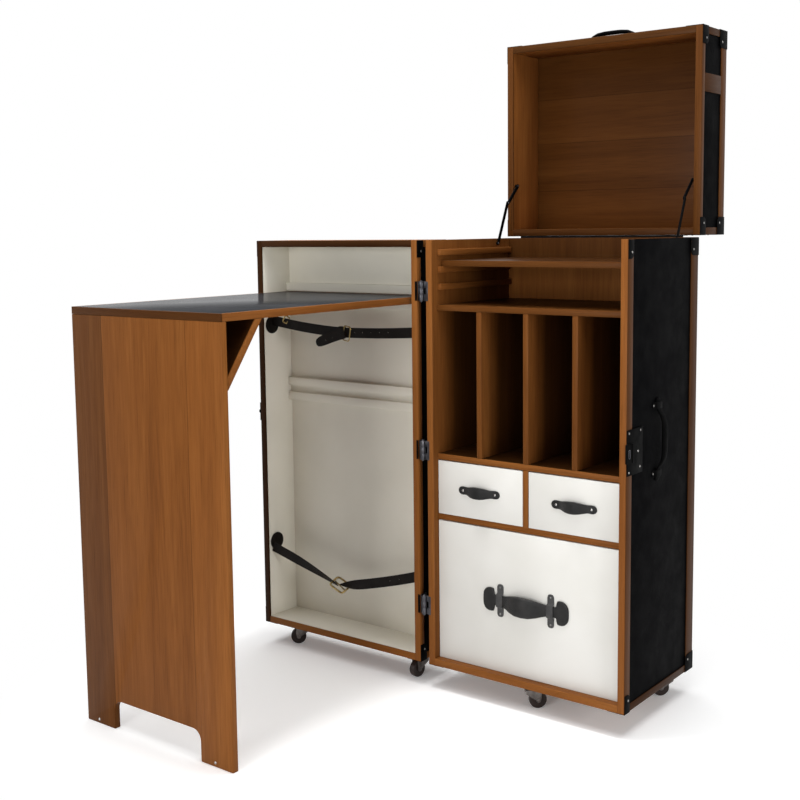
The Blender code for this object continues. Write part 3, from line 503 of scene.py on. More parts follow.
def pick_faces(made, wanted):
    """Opens a piece for editing with only the wanted faces selected."""
    bpy.context.view_layer.objects.active = made
    bpy.ops.object.mode_set(mode="EDIT")
    bpy.ops.mesh.select_mode(type="FACE")
    bpy.ops.mesh.select_all(action="DESELECT")
    bpy.ops.object.mode_set(mode="OBJECT")
    for face in made.data.polygons:
        face.select = wanted(face)
    bpy.ops.object.mode_set(mode="EDIT")


def tray(name, low, high):
    """An open box: a block hollowed from above."""
    made = block(name, low, high)
    pick_faces(made, lambda face: face.normal.z > 0.5)
    bpy.ops.mesh.inset(thickness=TRAY_SIDE)
    sunk = TRAY_BOTTOM - (high[2] - low[2])
    bpy.ops.mesh.extrude_region_move(TRANSFORM_OT_translate={"value": (0.0, 0.0, sunk)})
    bpy.ops.object.mode_set(mode="OBJECT")
    return eased(made, EASE)


for drawer in ("small_drawer_left", "small_drawer_right", "large_drawer"):
    low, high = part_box(drawer)
    face_back = low.y + DRAWER_FRONT
    front = board(f"{drawer}_front", low, (high.x, face_back, high.z), FRONT_EASE)
    fit(front, drawer, "white_board", white_cloth, drawer)
    box = tray(f"{drawer}_tray", (low.x, face_back + SEAT, low.z), (high.x, high.y, high.z - TRAY_DROP))
    fit(box, drawer, "white_board", pale_birch)

# Drawer handles: leather pulls with rounded ends on the small drawers, each held by two steel
# rivets. The large drawer has a thick padded grip whose necks run under two black metal clips.
PULL = (
    (0.0620, 0.0040, 0.0026, 0.0), (0.0610, 0.0100, 0.0030, 0.0), (0.0585, 0.0162, 0.0032, 0.0),
    (0.0540, 0.0205, 0.0033, 0.0), (0.0480, 0.0215, 0.0034, 0.0), (0.0420, 0.0205, 0.0036, 0.0004),
    (0.0360, 0.0205, 0.0042, 0.0020), (0.0290, 0.0230, 0.0056, 0.0048), (0.0200, 0.0272, 0.0078, 0.0078),
    (0.0090, 0.0302, 0.0092, 0.0094), (0.0, 0.0308, 0.0095, 0.0097),
)
PULL_RIVET = 0.0485
PULL_FACE = 0.0034
PULL_HEAD = 0.0032
GRIP = (
    (0.1240, 0.0220, 0.0035, 0.0), (0.1226, 0.0350, 0.0045, 0.0), (0.1190, 0.0470, 0.0052, 0.0),
    (0.1140, 0.0560, 0.0055, 0.0), (0.1070, 0.0610, 0.0056, 0.0), (0.0995, 0.0615, 0.0056, 0.0),
    (0.0935, 0.0590, 0.0055, 0.0), (0.0915, 0.0470, 0.0054, 0.0), (0.0902, 0.0320, 0.0054, 0.0),
    (0.0880, 0.0280, 0.0055, 0.0), (0.0820, 0.0265, 0.0056, 0.0), (0.0735, 0.0265, 0.0058, 0.0),
    (0.0640, 0.0280, 0.0070, 0.0010), (0.0530, 0.0330, 0.0100, 0.0035), (0.0390, 0.0415, 0.0148, 0.0072),
    (0.0200, 0.0495, 0.0185, 0.0108), (0.0, 0.0515, 0.0195, 0.0118),
)
CLIP = (
    (0.0425, 0.0060, 0.0018, 0.0), (0.0415, 0.0115, 0.0022, 0.0), (0.0390, 0.0160, 0.0024, 0.0),
    (0.0350, 0.0185, 0.0024, 0.0), (0.0205, 0.0185, 0.0024, 0.0), (0.0185, 0.0185, 0.0026, 0.0012),
    (0.0160, 0.0185, 0.0026, 0.0056), (0.0140, 0.0185, 0.0024, 0.0066), (0.0, 0.0185, 0.0024, 0.0068),
)
CLIP_PLACE = 0.0735
CLIP_RIVET = 0.0345
CLIP_FACE = 0.0024
CLIP_HEAD = 0.0030
CLIP_POWER = 0.35


def metal(name, dark, light, roughness, metallic=1.0, shine=0.5):
    """Metal with a slightly uneven finish, bare or japanned."""
    material, tree, place = new_finish(name)
    cloud = noise(tree, place, 45.0, 4.0, 0.6)
    colour = ramp(tree, cloud, (0.35, dark), (0.68, light))
    rough = remap(tree, cloud, 0.3, 0.7, roughness + 0.07, roughness - 0.07)
    coat(tree, colour, rough, Metallic=metallic, Specular_IOR_Level=shine)
    return material


black_iron = metal(
    "black_japanned_iron", (0.0018, 0.0018, 0.0020), (0.0042, 0.0041, 0.0040), 0.46,
    metallic=0.0, shine=0.014,
)
nickel = metal("nickel", (0.32, 0.31, 0.295), (0.50, 0.49, 0.47), 0.26)
dull_nickel = metal("dull_nickel", (0.13, 0.128, 0.124), (0.22, 0.215, 0.21), 0.34)
clip_iron = metal(
    "black_clip_iron", (0.046, 0.046, 0.046), (0.070, 0.069, 0.068), 0.40, metallic=0.0, shine=0.12
)
handle_leather = leather(
    "black_handle_leather", (0.013, 0.0130, 0.0130), (0.028, 0.0272, 0.0265),
    grain=900.0, roughness=0.36, shine=0.14,
)


def tube(name, rings):
    """A sheet rolled up through rings of points and closed at both ends."""
    sides = len(rings[0])
    bpy.ops.mesh.primitive_grid_add(x_subdivisions=sides, y_subdivisions=len(rings) - 1)
    made = bpy.context.object
    made.name = name
    for index, corner in enumerate(made.data.vertices):
        row, column = divmod(index, sides + 1)
        corner.co = rings[row][column % sides]
    bpy.ops.object.mode_set(mode="EDIT")
    bpy.ops.mesh.select_all(action="SELECT")
    bpy.ops.mesh.remove_doubles(threshold=0.000001)
    bpy.ops.mesh.fill_holes(sides=0)
    bpy.ops.mesh.select_all(action="SELECT")
    bpy.ops.mesh.normals_make_consistent(inside=False)
    bpy.ops.object.mode_set(mode="OBJECT")
    bpy.ops.object.shade_smooth_by_angle(angle=math.radians(50))
    return made


def rounded(angle, width, height, power):
    """A point on an outline between an ellipse (power 1) and a rectangle (power 0)."""
    side, rise = math.cos(angle), math.sin(angle)
    return (
        width / 2 * math.copysign(abs(side) ** power, side),
        height / 2 * math.copysign(abs(rise) ** power, rise),
    )


def bar_on_face(name, centre, along, across, out, stations, power=0.6, sides=20):
    """A strap or clip lying on a face. Each station is a place on half of its length, with the
    width, thickness and height off the face there; the other half mirrors it."""
    along, across, out = Vector(along), Vector(across), Vector(out)
    line = [(-station[0], *station[1:]) for station in stations]
    line += [station for station in reversed(stations) if station[0] > 0.0]
    rings = []
    for at, width, thickness, height in line:
        ring = []
        for step in range(sides):
            wide, thick = rounded(2 * math.pi * (step + 0.5) / sides, width, thickness, power)
            ring.append(centre + along * at + across * wide + out * (height + thickness / 2 + thick))
        rings.append(ring)
    return tube(name, rings)


def select_only(*pieces):
    """Selects these pieces and no others, and makes the first one active."""
    bpy.ops.object.select_all(action="DESELECT")
    for piece in pieces:
        piece.select_set(True)
    bpy.context.view_layer.objects.active = pieces[0]


def joined(pieces):
    """Several pieces made one, under the first one's name."""
    select_only(*pieces)
    if len(pieces) > 1:
        bpy.ops.object.join()
    return pieces[0]


def studs(name, places, axis, radius, rise=0.45):
    """Domed nail or rivet heads: one flattened ball, copied to each place and joined."""
    bpy.ops.mesh.primitive_uv_sphere_add(segments=16, ring_count=8, radius=radius)
    ball = bpy.context.object
    ball.scale = [rise if letter == axis else 1.0 for letter in AXES]
    bpy.ops.object.transform_apply()
    bpy.ops.object.shade_smooth()
    heads = [copy_of(ball, name, Matrix.Translation(place)) for place in places]
    put_away(ball)
    return joined(heads)


RIGHT, BACK, UP = Vector((1.0, 0.0, 0.0)), Vector((0.0, 1.0, 0.0)), Vector((0.0, 0.0, 1.0))
pull = bar_on_face("pull", Vector(), RIGHT, UP, -BACK, PULL)
heads = [RIGHT * way * PULL_RIVET - BACK * PULL_FACE for way in (-1, 1)]
rivets = studs("pull_rivets", heads, "Y", PULL_HEAD)
for drawer in ("small_drawer_left", "small_drawer_right"):
    low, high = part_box(f"{drawer}_pull")
    seat = Matrix.Translation(((low.x + high.x) / 2, high.y, (low.z + high.z) / 2))
    made = copy_of(pull, f"{drawer}_pull_leather", seat)
    fit(made, drawer, "black_leather", handle_leather, f"{drawer}_pull")
    fit(copy_of(rivets, f"{drawer}_pull_rivets", seat), drawer, "hinge_steel", nickel)
put_away(pull, rivets)
low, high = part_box("large_drawer_grip")
drawer_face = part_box("large_drawer")[0].y
centre = Vector(((low.x + high.x) / 2, drawer_face - SEAT, (low.z + high.z) / 2))
grip = bar_on_face("large_drawer_grip_leather", centre, RIGHT, UP, -BACK, GRIP)
fit(grip, "large_drawer", "black_leather", handle_leather, "large_drawer_grip")
clip = bar_on_face("clip", Vector(), UP, RIGHT, -BACK, CLIP, CLIP_POWER)
heads = [UP * way * CLIP_RIVET - BACK * CLIP_FACE for way in (-1, 1)]
rivets = studs("clip_rivets", heads, "Y", CLIP_HEAD)
for side, way in (("left", -1), ("right", 1)):
    seat = Matrix.Translation(centre + RIGHT * way * CLIP_PLACE)
    fit(copy_of(clip, f"large_drawer_clip_{side}", seat), "large_drawer", "black_metal", clip_iron)
    made = copy_of(rivets, f"large_drawer_clip_rivets_{side}", seat)
    fit(made, "large_drawer", "hinge_steel", dull_nickel)
put_away(clip, rivets)

# Door half: a shallow box of the same stained boards, lined inside with cream board.
# Two grooved cream rails across its back hold the desk's rear edge at standing or sitting height.
LINING = 0.0015
LINING_EASE = 0.0002
RAIL_EASE = 0.001
CREAM = (0.80, 0.765, 0.67)
CREAM_SHADE = (0.74, 0.705, 0.61)
cream_lining = leathercloth("cream_lining", CREAM, CREAM_SHADE, grain=700.0)


def softened(node, name, ease):
    """A CAD solid's own shape with its edges eased."""
    source = frame["nodes"][node]
    mesh = source.data.copy()
    mesh.transform(source.matrix_world)
    made = bpy.data.objects.new(name, mesh)
    bpy.context.scene.collection.objects.link(made)
    select_only(made)
    bpy.ops.object.mode_set(mode="EDIT")
    bpy.ops.mesh.select_all(action="SELECT")
    bpy.ops.mesh.remove_doubles(threshold=0.00001)
    bpy.ops.mesh.dissolve_limited(angle_limit=math.radians(1))
    bpy.ops.mesh.normals_make_consistent(inside=False)
    bpy.ops.object.mode_set(mode="OBJECT")
    return eased(made, ease)


door_low, door_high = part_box("door_battens")
shell_low, shell_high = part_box("door_shell")
rail_low, rail_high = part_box("desk_rail_upper")
hollow_low = Vector((rail_low.x - SEAT, shell_low.y, door_low.z + WALL))
hollow_high = Vector((rail_high.x + SEAT, rail_high.y + SEAT, door_high.z - WALL))
lined_low = Vector((hollow_low.x - LINING, shell_low.y, hollow_low.z - LINING))
lined_high = Vector((hollow_high.x + LINING, hollow_high.y + LINING, hollow_high.z + LINING))
left, right, near, far = lined_low.x, lined_high.x, shell_low.y, shell_high.y
for side, low, high, finish in (
    ("left", shell_low, (left, far, shell_high.z), wood_upright),
    ("right", (right, near, shell_low.z), shell_high, wood_upright),
    ("bottom", (left, near, shell_low.z), (right, far, lined_low.z), wood_across),
    ("top", (left, near, lined_high.z), (right, far, shell_high.z), wood_across),
    ("back", (left, lined_high.y, lined_low.z), (right, far, lined_high.z), wood_upright),
):
    fit(board(f"door_{side}_board", low, high), "door", "wood", finish, "door_shell")
far = hollow_high.y
for side, low, high in (
    ("left", lined_low, (hollow_low.x, far, lined_high.z)),
    ("right", (hollow_high.x, near, lined_low.z), (right, far, lined_high.z)),
    ("bottom", (hollow_low.x, near, lined_low.z), (hollow_high.x, far, hollow_low.z)),
    ("top", (hollow_low.x, near, hollow_high.z), (hollow_high.x, far, lined_high.z)),
    ("back", (left, far, lined_low.z), lined_high),
):
    fit(board(f"door_lining_{side}", low, high, LINING_EASE), "door", "cream_board", cream_lining)
for node in ("desk_rail_upper", "desk_rail_lower"):
    fit(softened(node, f"{node}_eased", RAIL_EASE), "door", "cream_board", cream_lining, node)

# Door edge strips: L-shaped mouldings on the upright edges and flat strips along top and bottom,
# glued over the edges of the leather like those of the case.
DOOR_STRIP = 0.018
wood_dim = wood("stained_door_left_edge", "Z", 8.3, tone=0.15)
wood_dim_across = wood("stained_door_top_edge", "X", 4.4, tone=0.22)
door_strips = (DOOR_STRIP, DOOR_STRIP)
upright_strips("door", door_low, door_high, *door_strips, (wood_dim, wood_upright), wood_upright)
for level, start, finish in (
    ("bottom", door_low.z, wood_across),
    ("top", door_high.z - WALL, wood_dim_across),
):
    level_strips(
        "door", level, door_low, door_high, start, *door_strips,
        front=finish, back=wood_across, left=wood_deep, right=wood_deep,
    )

# Straps: dark brown bridle leather, buckled in the middle, that hold folded papers in the door half.
# Each end is held by a round leather pad on the side wall.
STRAP_WIDTH = 0.028
STRAP_THICKNESS = 0.003
STRAP_POWER = 0.3
PAD_RADIUS = 0.025
PAD_THICKNESS = 0.005
PAD_EASE = 0.0015
HOLE = 0.0017
PUNCH = 0.03
WIRE_RING = 0.02
WIRE_POWER = 0.35
UPPER_STRAP = {
    "left": 0.955, "right": 0.942, "buckle": (-0.300, 0.931), "pad_lift": 0.0, "forward": 0.0,
    "gaps": (0.004, 0.006), "sags": (0.004, 0.002), "steps": 14, "twists": (None, None),
    "holes": (0.13, 0.24, 0.36, 0.48, 0.60), "hole_drop": 0.0,
}
LOWER_STRAP = {
    "left": 0.2895, "right": 0.286, "buckle": (-0.330, 0.211), "pad_lift": 0.006, "forward": 0.018,
    "gaps": (0.012, 0.010), "sags": (-0.003, 0.004), "steps": 16,
    "twists": (
        [6.0 * (step / 16) + 46.0 * max(0.0, (step - 5) / 11) ** 1.2 for step in range(17)],
        [62.0 * max(0.0, 1 - step / 4) ** 1.5 for step in range(17)],
    ),
    "holes": (0.62, 0.74), "hole_drop": 0.003,
}
TAIL_START = Vector((0.006, -0.0062, -0.001))
TAIL_END = Vector((-0.094, -0.0085, -0.034))
TAIL_STEPS = 12
TAIL_RISE = 0.002
TAIL_TIP = (0.5, 0.85, 1.0)
TAIL_WIDTHS = [0.0300] * 9 + [0.0295, 0.0270, 0.0210, 0.0100]
TAIL_HOLES = (0.42, 0.66)
UPPER_FRAME = (0.024, 0.040, 0.0018, (0.0, 0.17, 0.0))
UPPER_FRAME_OFF = Vector((0.011, -0.002, -0.002))
LOWER_FRAME = (0.050, 0.036, 0.0030, (math.radians(-60), math.radians(22), 0.0))
KEEPER = (-0.014, -0.010, -0.004, 0.0)
KEEPER_WIDTH = STRAP_WIDTH + 0.006
KEEPER_THICKNESS = 0.0165
RING = (0.015, 0.020, 0.0022, (0.0, 0.5, 0.25))
RING_SHARE = 0.20
RING_OFF = Vector((0.0, -0.001, 0.009))
PRONG = (-0.016, -0.006, 0.006, 0.018)
PRONG_FORWARD = 0.002
PRONG_SLOPE = 0.6
PRONG_WIDTH = 0.0034
PRONG_THICKNESS = 0.0026
strap_leather = leather(
    "dark_bridle_leather", (0.007, 0.0056, 0.0048), (0.014, 0.0112, 0.0098),
    grain=1100.0, roughness=0.40, shine=0.06,
)
brass = metal("aged_brass", (0.22, 0.155, 0.058), (0.42, 0.315, 0.14), 0.28)


def ribbon(name, path, width, twists=None, widths=None, thickness=STRAP_THICKNESS, sides=16):
    """A strap along a path. It stands on edge, facing front, and may be twisted about its own line."""
    rings = []
    for index, point in enumerate(path):
        before, after = path[max(index - 1, 0)], path[min(index + 1, len(path) - 1)]
        tangent = (after - before).normalized()
        rise = (UP - tangent * UP.dot(tangent)).normalized()
        side = tangent.cross(rise)
        twist = math.radians(twists[index]) if twists else 0.0
        across = rise * math.cos(twist) + side * math.sin(twist)
        thick = side * math.cos(twist) - rise * math.sin(twist)
        wide_here = widths[index] if widths else width
        ring = []
        for step in range(sides):
            wide, deep = rounded(2 * math.pi * (step + 0.5) / sides, wide_here, thickness, STRAP_POWER)
            ring.append(point + across * wide + thick * deep)
        rings.append(ring)
    return tube(name, rings)


def line(start, end, steps, sag=0.0):
    """Points from one end to the other that hang a little in between."""
    points = []
    for step in range(steps + 1):
        share = step / steps
        points.append(start.lerp(end, share) - UP * sag * 4 * share * (1 - share))
    return points


def cylinder(axis, radius, length, sides, place=(0.0, 0.0, 0.0)):
    """A round bar along an axis."""
    turn = {"X": (0.0, math.pi / 2, 0.0), "Y": (math.pi / 2, 0.0, 0.0), "Z": (0.0, 0.0, 0.0)}[axis]
    bpy.ops.mesh.primitive_cylinder_add(
        vertices=sides, radius=radius, depth=length, location=place, rotation=turn
    )
    bpy.ops.object.transform_apply()
    return bpy.context.object


def punched(made, path, shares, drop=0.0):
    """Punches round holes from front to back through a strap, at shares of its length."""
    for share in shares:
        punch = cylinder("Y", HOLE, PUNCH, 12, path[0].lerp(path[-1], share) - UP * drop)
        cut = made.modifiers.new("hole", "BOOLEAN")
        cut.operation = "DIFFERENCE"
        cut.object = punch
        bpy.context.view_layer.objects.active = made
        bpy.ops.object.modifier_apply(modifier=cut.name)
        put_away(punch)
    select_only(made)
    bpy.ops.object.shade_smooth_by_angle(angle=math.radians(50))
    return made


def buckle(name, centre, width, height, wire, lean):
    """A rectangular buckle frame bent from a ring of round wire."""
    bpy.ops.mesh.primitive_torus_add(
        major_segments=48, minor_segments=10, major_radius=WIRE_RING, minor_radius=wire,
        rotation=(math.pi / 2, 0.0, 0.0),
    )
    made = bpy.context.object
    made.name = name
    bpy.ops.object.transform_apply()
    for corner in made.data.vertices:
        angle = math.atan2(corner.co.z, corner.co.x)
        spread = math.hypot(corner.co.x, corner.co.z) - WIRE_RING
        wide, tall = rounded(angle, width, height, WIRE_POWER)
        corner.co.x = wide + spread * math.cos(angle)
        corner.co.z = tall + spread * math.sin(angle)
    made.rotation_euler = lean
    made.location = centre
    bpy.ops.object.transform_apply()
    bpy.ops.object.shade_smooth()
    return made


def sewn(made):
    """Fits a leather part of the straps."""
    fit(made, "door", "brown_leather", strap_leather)


def buckled(made):
    """Fits a brass part of the straps."""
    fit(made, "door", "hinge_steel", brass)


strap_depth = (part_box("strap_upper")[0].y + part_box("strap_upper")[1].y) / 2
wall_left, wall_right = hollow_low.x + SEAT, hollow_high.x - SEAT
pad = eased(cylinder("X", PAD_RADIUS, PAD_THICKNESS, 40), PAD_EASE, 3)
anchors = {}
for level, strap in (("upper", UPPER_STRAP), ("lower", LOWER_STRAP)):
    pad_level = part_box(f"strap_{level}")[1].z - PAD_RADIUS + strap["pad_lift"]
    for side, at in (("left", wall_left + PAD_THICKNESS / 2), ("right", wall_right - PAD_THICKNESS / 2)):
        made = copy_of(pad, f"strap_{level}_pad_{side}", Matrix.Translation((at, strap_depth, pad_level)))
        fit(made, "door", "brown_leather", strap_leather, f"strap_{level}")
    first = Vector((wall_left + PAD_THICKNESS, strap_depth - strap["forward"], strap["left"]))
    middle = Vector((strap["buckle"][0], strap_depth, strap["buckle"][1]))
    last = Vector((wall_right - PAD_THICKNESS, strap_depth, strap["right"]))
    path = line(first, middle - RIGHT * strap["gaps"][0], strap["steps"], strap["sags"][0])
    sewn(ribbon(f"strap_{level}_left", path, STRAP_WIDTH, strap["twists"][0]))
    path = line(middle + RIGHT * strap["gaps"][1], last, strap["steps"], strap["sags"][1])
    band = ribbon(f"strap_{level}_right", path, STRAP_WIDTH, strap["twists"][1])
    sewn(punched(band, path, strap["holes"], strap["hole_drop"]))
    anchors[level] = first, middle
put_away(pad)

first, middle = anchors["upper"]
path = line(middle + TAIL_START, middle + TAIL_END, TAIL_STEPS, -TAIL_RISE)
path[10:] = [path[9].lerp(middle + TAIL_END, share) for share in TAIL_TIP]
sewn(punched(ribbon("strap_upper_tail", path, STRAP_WIDTH, widths=TAIL_WIDTHS), path, TAIL_HOLES))
buckled(buckle("strap_upper_buckle", middle + UPPER_FRAME_OFF, *UPPER_FRAME))
path = [middle + RIGHT * shift for shift in KEEPER]
sewn(ribbon("strap_upper_keeper", path, KEEPER_WIDTH, thickness=KEEPER_THICKNESS))
buckled(buckle("strap_upper_ring", first.lerp(middle, RING_SHARE) + RING_OFF, *RING))
first, middle = anchors["lower"]
buckled(buckle("strap_lower_buckle", middle, *LOWER_FRAME))
path = [middle + Vector((shift, -PRONG_FORWARD, -PRONG_SLOPE * shift)) for shift in PRONG]
buckled(ribbon("strap_lower_prong", path, PRONG_WIDTH, thickness=PRONG_THICKNESS))

# Desk: a lipped panel with a dark polished top, on a leg panel of three upright boards glued together.
# The leg folds on two butt hinges, and the brace board stands in the corner between leg and top.
LEG_SEAMS = (-0.455, -0.165)
LEG_TONES = (0.55, 0.92, 1.0)
BRACE_END = 0.004
LIP_EASE = 0.0007
COVER_EASE = 0.0004
LEG_EASE = 0.0012
BRACE_EASE = 0.001
LEG_HINGE = 0.060
LEG_HINGE_INSET = 0.075
LEG_PIVOT_IN = 0.009
LEG_PIVOT_DROP = 0.010
LEG_LEAF = 0.002
LEG_LEAF_REACH = 0.036
LEG_BARREL = 0.004
LEG_HINGE_EASE = 0.0003
GLIDE = 0.0036
GLIDE_INSETS = (0.044, 0.457)
GLIDE_RISE = 0.010
leg_wood = wood("stained_leg_boards", "Z", 7.7, ("X", LEG_SEAMS, LEG_TONES))
leg_hinge_steel = metal("leg_hinge_steel", (0.16, 0.155, 0.15), (0.28, 0.27, 0.26), 0.36)


def polished(name, dark, light, shine):
    """A polished dark surface with faint clouds."""
    material, tree, place = new_finish(name)
    cloud = noise(tree, place, 6.0, 4.0)
    rough = remap(tree, cloud, 0.0, 1.0, 0.13, 0.24)
    coat(tree, ramp(tree, cloud, (0.35, dark), (0.7, light)), rough, Specular_IOR_Level=shine)
    return material


desk_black = polished("desk_top_covering", (0.020, 0.021, 0.023), (0.030, 0.031, 0.034), shine=0.002)
desk_low, desk_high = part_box("desk_top")
cover_low, cover_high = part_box("desk_cover")
lip_dark = wood("stained_desk_lip", "X", 2.3, tone=0.33)
near, far = cover_low.y - SEAT, cover_high.y + SEAT
left, right = cover_low.x - SEAT, cover_high.x + SEAT
core_low = (cover_low.x, cover_low.y, desk_low.z)
for part, low, high, finish in (
    ("core", core_low, (cover_high.x, cover_high.y, cover_low.z - SEAT), wood_across),
    ("lip_front", desk_low, (desk_high.x, near, desk_high.z), lip_dark),
    ("lip_left", (desk_low.x, near, desk_low.z), (left, far, desk_high.z), wood_deep),
    ("lip_right", (right, near, desk_low.z), (desk_high.x, far, desk_high.z), wood_deep),
    ("lip_rear", (desk_low.x, far, desk_low.z), desk_high, wood_across),
):
    fit(board(f"desk_{part}", low, high, LIP_EASE), "desk", "wood", finish, "desk_top")
cover = board("desk_top_covering", cover_low, cover_high, COVER_EASE)
fit(cover, "desk", "black_leather", desk_black, "desk_cover")
fit(softened("desk_leg", "desk_leg_panel", LEG_EASE), "desk_leg", "wood", leg_wood, "desk_leg")
# Painted shade: the brace board is very dark except for its last 4 mm at the right end, with a glue line at
# that edge.
brace_painted_shade_wood = wood("stained_brace_board_painted_shade", "X", 4.9, ("X", (desk_high.x - BRACE_END,), (0.14, 1.0)))
fit(softened("desk_brace", "desk_brace_board", BRACE_EASE), "desk_brace", "wood", brace_painted_shade_wood, "desk_brace")
leg_low, leg_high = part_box("desk_leg")
pivot_y, pivot_z = leg_high.y + LEG_PIVOT_IN, desk_low.z - LEG_PIVOT_DROP
leg_face, desk_face = leg_high.y + SEAT, desk_low.z - SEAT
leg_leaf = [
    (leg_face, pivot_z - LEG_LEAF_REACH),
    (leg_face + LEG_LEAF, pivot_z - LEG_LEAF_REACH),
    (leg_face + LEG_LEAF, pivot_z - LEG_LEAF / 2),
    (pivot_y - LEG_BARREL, pivot_z - LEG_LEAF / 2),
    (pivot_y - LEG_BARREL, pivot_z + LEG_LEAF / 2),
    (leg_face, pivot_z + LEG_LEAF / 2),
]
top_leaf = [
    (pivot_y - LEG_LEAF / 2, pivot_z + LEG_BARREL),
    (pivot_y + LEG_LEAF / 2, pivot_z + LEG_BARREL),
    (pivot_y + LEG_LEAF / 2, desk_face - LEG_LEAF),
    (pivot_y + LEG_LEAF_REACH, desk_face - LEG_LEAF),
    (pivot_y + LEG_LEAF_REACH, desk_face),
    (pivot_y - LEG_LEAF / 2, desk_face),
]
barrel = []
for step in range(16):
    angle = 2 * math.pi * step / 16
    barrel.append((pivot_y + LEG_BARREL * math.cos(angle), pivot_z + LEG_BARREL * math.sin(angle)))
hinge_left, hinge_right = leg_low.x + LEG_HINGE_INSET, leg_high.x - LEG_HINGE_INSET - LEG_HINGE
for part, outline, body in (
    ("leg_leaf", leg_leaf, "desk_leg"), ("top_leaf", top_leaf, "desk"), ("barrel", barrel, "desk")
):
    pattern = moulding(part, "X", (0.0, LEG_HINGE), outline, LEG_HINGE_EASE)
    for side, at in (("left", hinge_left), ("right", hinge_right)):
        made = copy_of(pattern, f"desk_leg_hinge_{part}_{side}", Matrix.Translation(RIGHT * at))
        fit(made, body, "hinge_steel", leg_hinge_steel)
    put_away(pattern)
heads = [Vector((leg_low.x + inset, leg_low.y, GLIDE_RISE)) for inset in GLIDE_INSETS]
fit(studs("desk_leg_glides", heads, "Y", GLIDE), "desk_leg", "hinge_steel", nickel)

# Trunk hinges: steel butt hinges in the gap between the halves, screwed to the facing sides.
# Each leaf is bent a little way round onto the front strip of its half.
SCREW = 0.0032
SCREW_RISE = 0.3
SCREW_BACK = 0.007
SCREW_APART = 0.016
HINGE_LEAF = 0.0025
HINGE_LAP = 0.0065
HINGE_PROUD = 0.0004
LAP_EASE = 0.0003
HINGE_EASE = 0.0004
hinge_steel = metal("dark_hinge_steel", (0.050, 0.050, 0.057), (0.100, 0.099, 0.108), 0.36)
low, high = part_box("trunk_hinge_door_leaf_lower")
tall = high.z - low.z
laps = []
for half, near, front, finish in (
    ("door", door_high.x - HINGE_LAP, door_low.y, black_iron),
    ("case", case_low.x, case_low.y, hinge_steel),
):
    far_corner = (near + HINGE_LAP, front + LEATHER, tall)
    lap = board(f"lap_{half}", (near, front - HINGE_PROUD, 0.0), far_corner, LAP_EASE)
    laps.append((half, lap, finish))
screw_face, screw_depth = low.x + HINGE_LEAF, high.y - SCREW_BACK
heads = [Vector((screw_face, screw_depth, tall / 2 + way * SCREW_APART)) for way in (-1, 1)]
screws = studs("hinge_screws", heads, "X", SCREW, SCREW_RISE)
for place in ("lower", "middle", "upper"):
    for half in ("case", "door"):
        node = f"trunk_hinge_{half}_leaf_{place}"
        fit(softened(node, f"{node}_steel", HINGE_EASE), half, "hinge_steel", hinge_steel, node)
    rise = Matrix.Translation(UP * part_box(f"trunk_hinge_door_leaf_{place}")[0].z)
    for half, lap, finish in laps:
        fit(copy_of(lap, f"trunk_hinge_{half}_lap_{place}", rise), half, "hinge_steel", finish)
    fit(copy_of(screws, f"trunk_hinge_screws_{place}", rise), "door", "hinge_steel", nickel)
put_away(screws, *(lap for half, lap, finish in laps))

# Lid: a shallow tray of stained boards. Its panel is glued up from boards that lie across it,
# and strips like those of the case cover its edges and the line where the two halves meet.
LID_SEAMS = (1.315, 1.448, 1.571)
LID_TONES = (0.38, 0.365, 0.395, 0.37)
LID_STRIP = 0.032
lid_wood = wood("stained_lid_boards", "X", 9.1, ("Z", LID_SEAMS, LID_TONES))
rim_upright = wood("stained_lid_rim_upright", "Z", 1.9, tone=0.45)
rim_across = wood("stained_lid_rim_across", "X", 5.9, tone=0.28)
rim_deep = wood("stained_lid_rim_front_to_back", "Y", 2.7, tone=0.26)
lid_low, lid_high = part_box("lid_battens")
tray_low, tray_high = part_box("lid_box")
side_left, side_right = lid_low.x + WALL, lid_high.x - WALL
wall_lower, wall_upper = lid_low.z + WALL, lid_high.z - WALL
panel_face = lid_high.y - WALL
bottom, top = tray_low.z, tray_high.z
for part, low, high, finish in (
    ("panel", (tray_low.x, panel_face, bottom), tray_high, lid_wood),
    ("left_board", tray_low, (side_left, panel_face, top), wood_upright),
    ("right_board", (side_right, tray_low.y, bottom), (tray_high.x, panel_face, top), wood_upright),
    ("lower_board", (side_left, tray_low.y, bottom), (side_right, panel_face, wall_lower), wood_across),
    ("upper_board", (side_left, tray_low.y, wall_upper), (side_right, panel_face, top), wood_across),
):
    fit(board(f"lid_{part}", low, high), "lid", "wood", finish, "lid_box")
near, far = lid_low.y + WALL, lid_high.y - LID_STRIP
lid_tall, lid_deep, lid_wide = (lid_low.z, lid_high.z), (near, far), (side_left, side_right)
lid_sides = (("left", lid_low.x, 1), ("right", lid_high.x, -1))
lid_levels = (("lower", lid_low.z, 1), ("upper", lid_high.z, -1))
thin, lipped = (BATTEN, BATTEN), (BATTEN, STRIP)
strips = []
for side, edge, inward in lid_sides:
    arm = inward * WALL
    rim = corner_strip(f"lid_rim_{side}", "Z", lid_tall, (edge, lid_low.y), (arm, WALL), (STRIP, BATTEN))
    fit(rim, "lid", "wood", rim_upright, "lid_battens")
    strips.append((f"edge_{side}", "Z", lid_tall, (edge, lid_high.y), (arm, -LID_STRIP), thin, rim_upright))
    for level, height, down in lid_levels:
        arms = (arm, down * WALL)
        strips.append((f"{level}_edge_{side}", "Y", lid_deep, (edge, height), arms, thin, rim_deep))
for level, height, down in lid_levels:
    arm = down * WALL
    strips.append((f"rim_{level}", "X", lid_wide, (lid_low.y, height), (WALL, arm), lipped, rim_across))
    strips.append((f"edge_{level}", "X", lid_wide, (lid_high.y, height), (-LID_STRIP, arm), thin, rim_across))
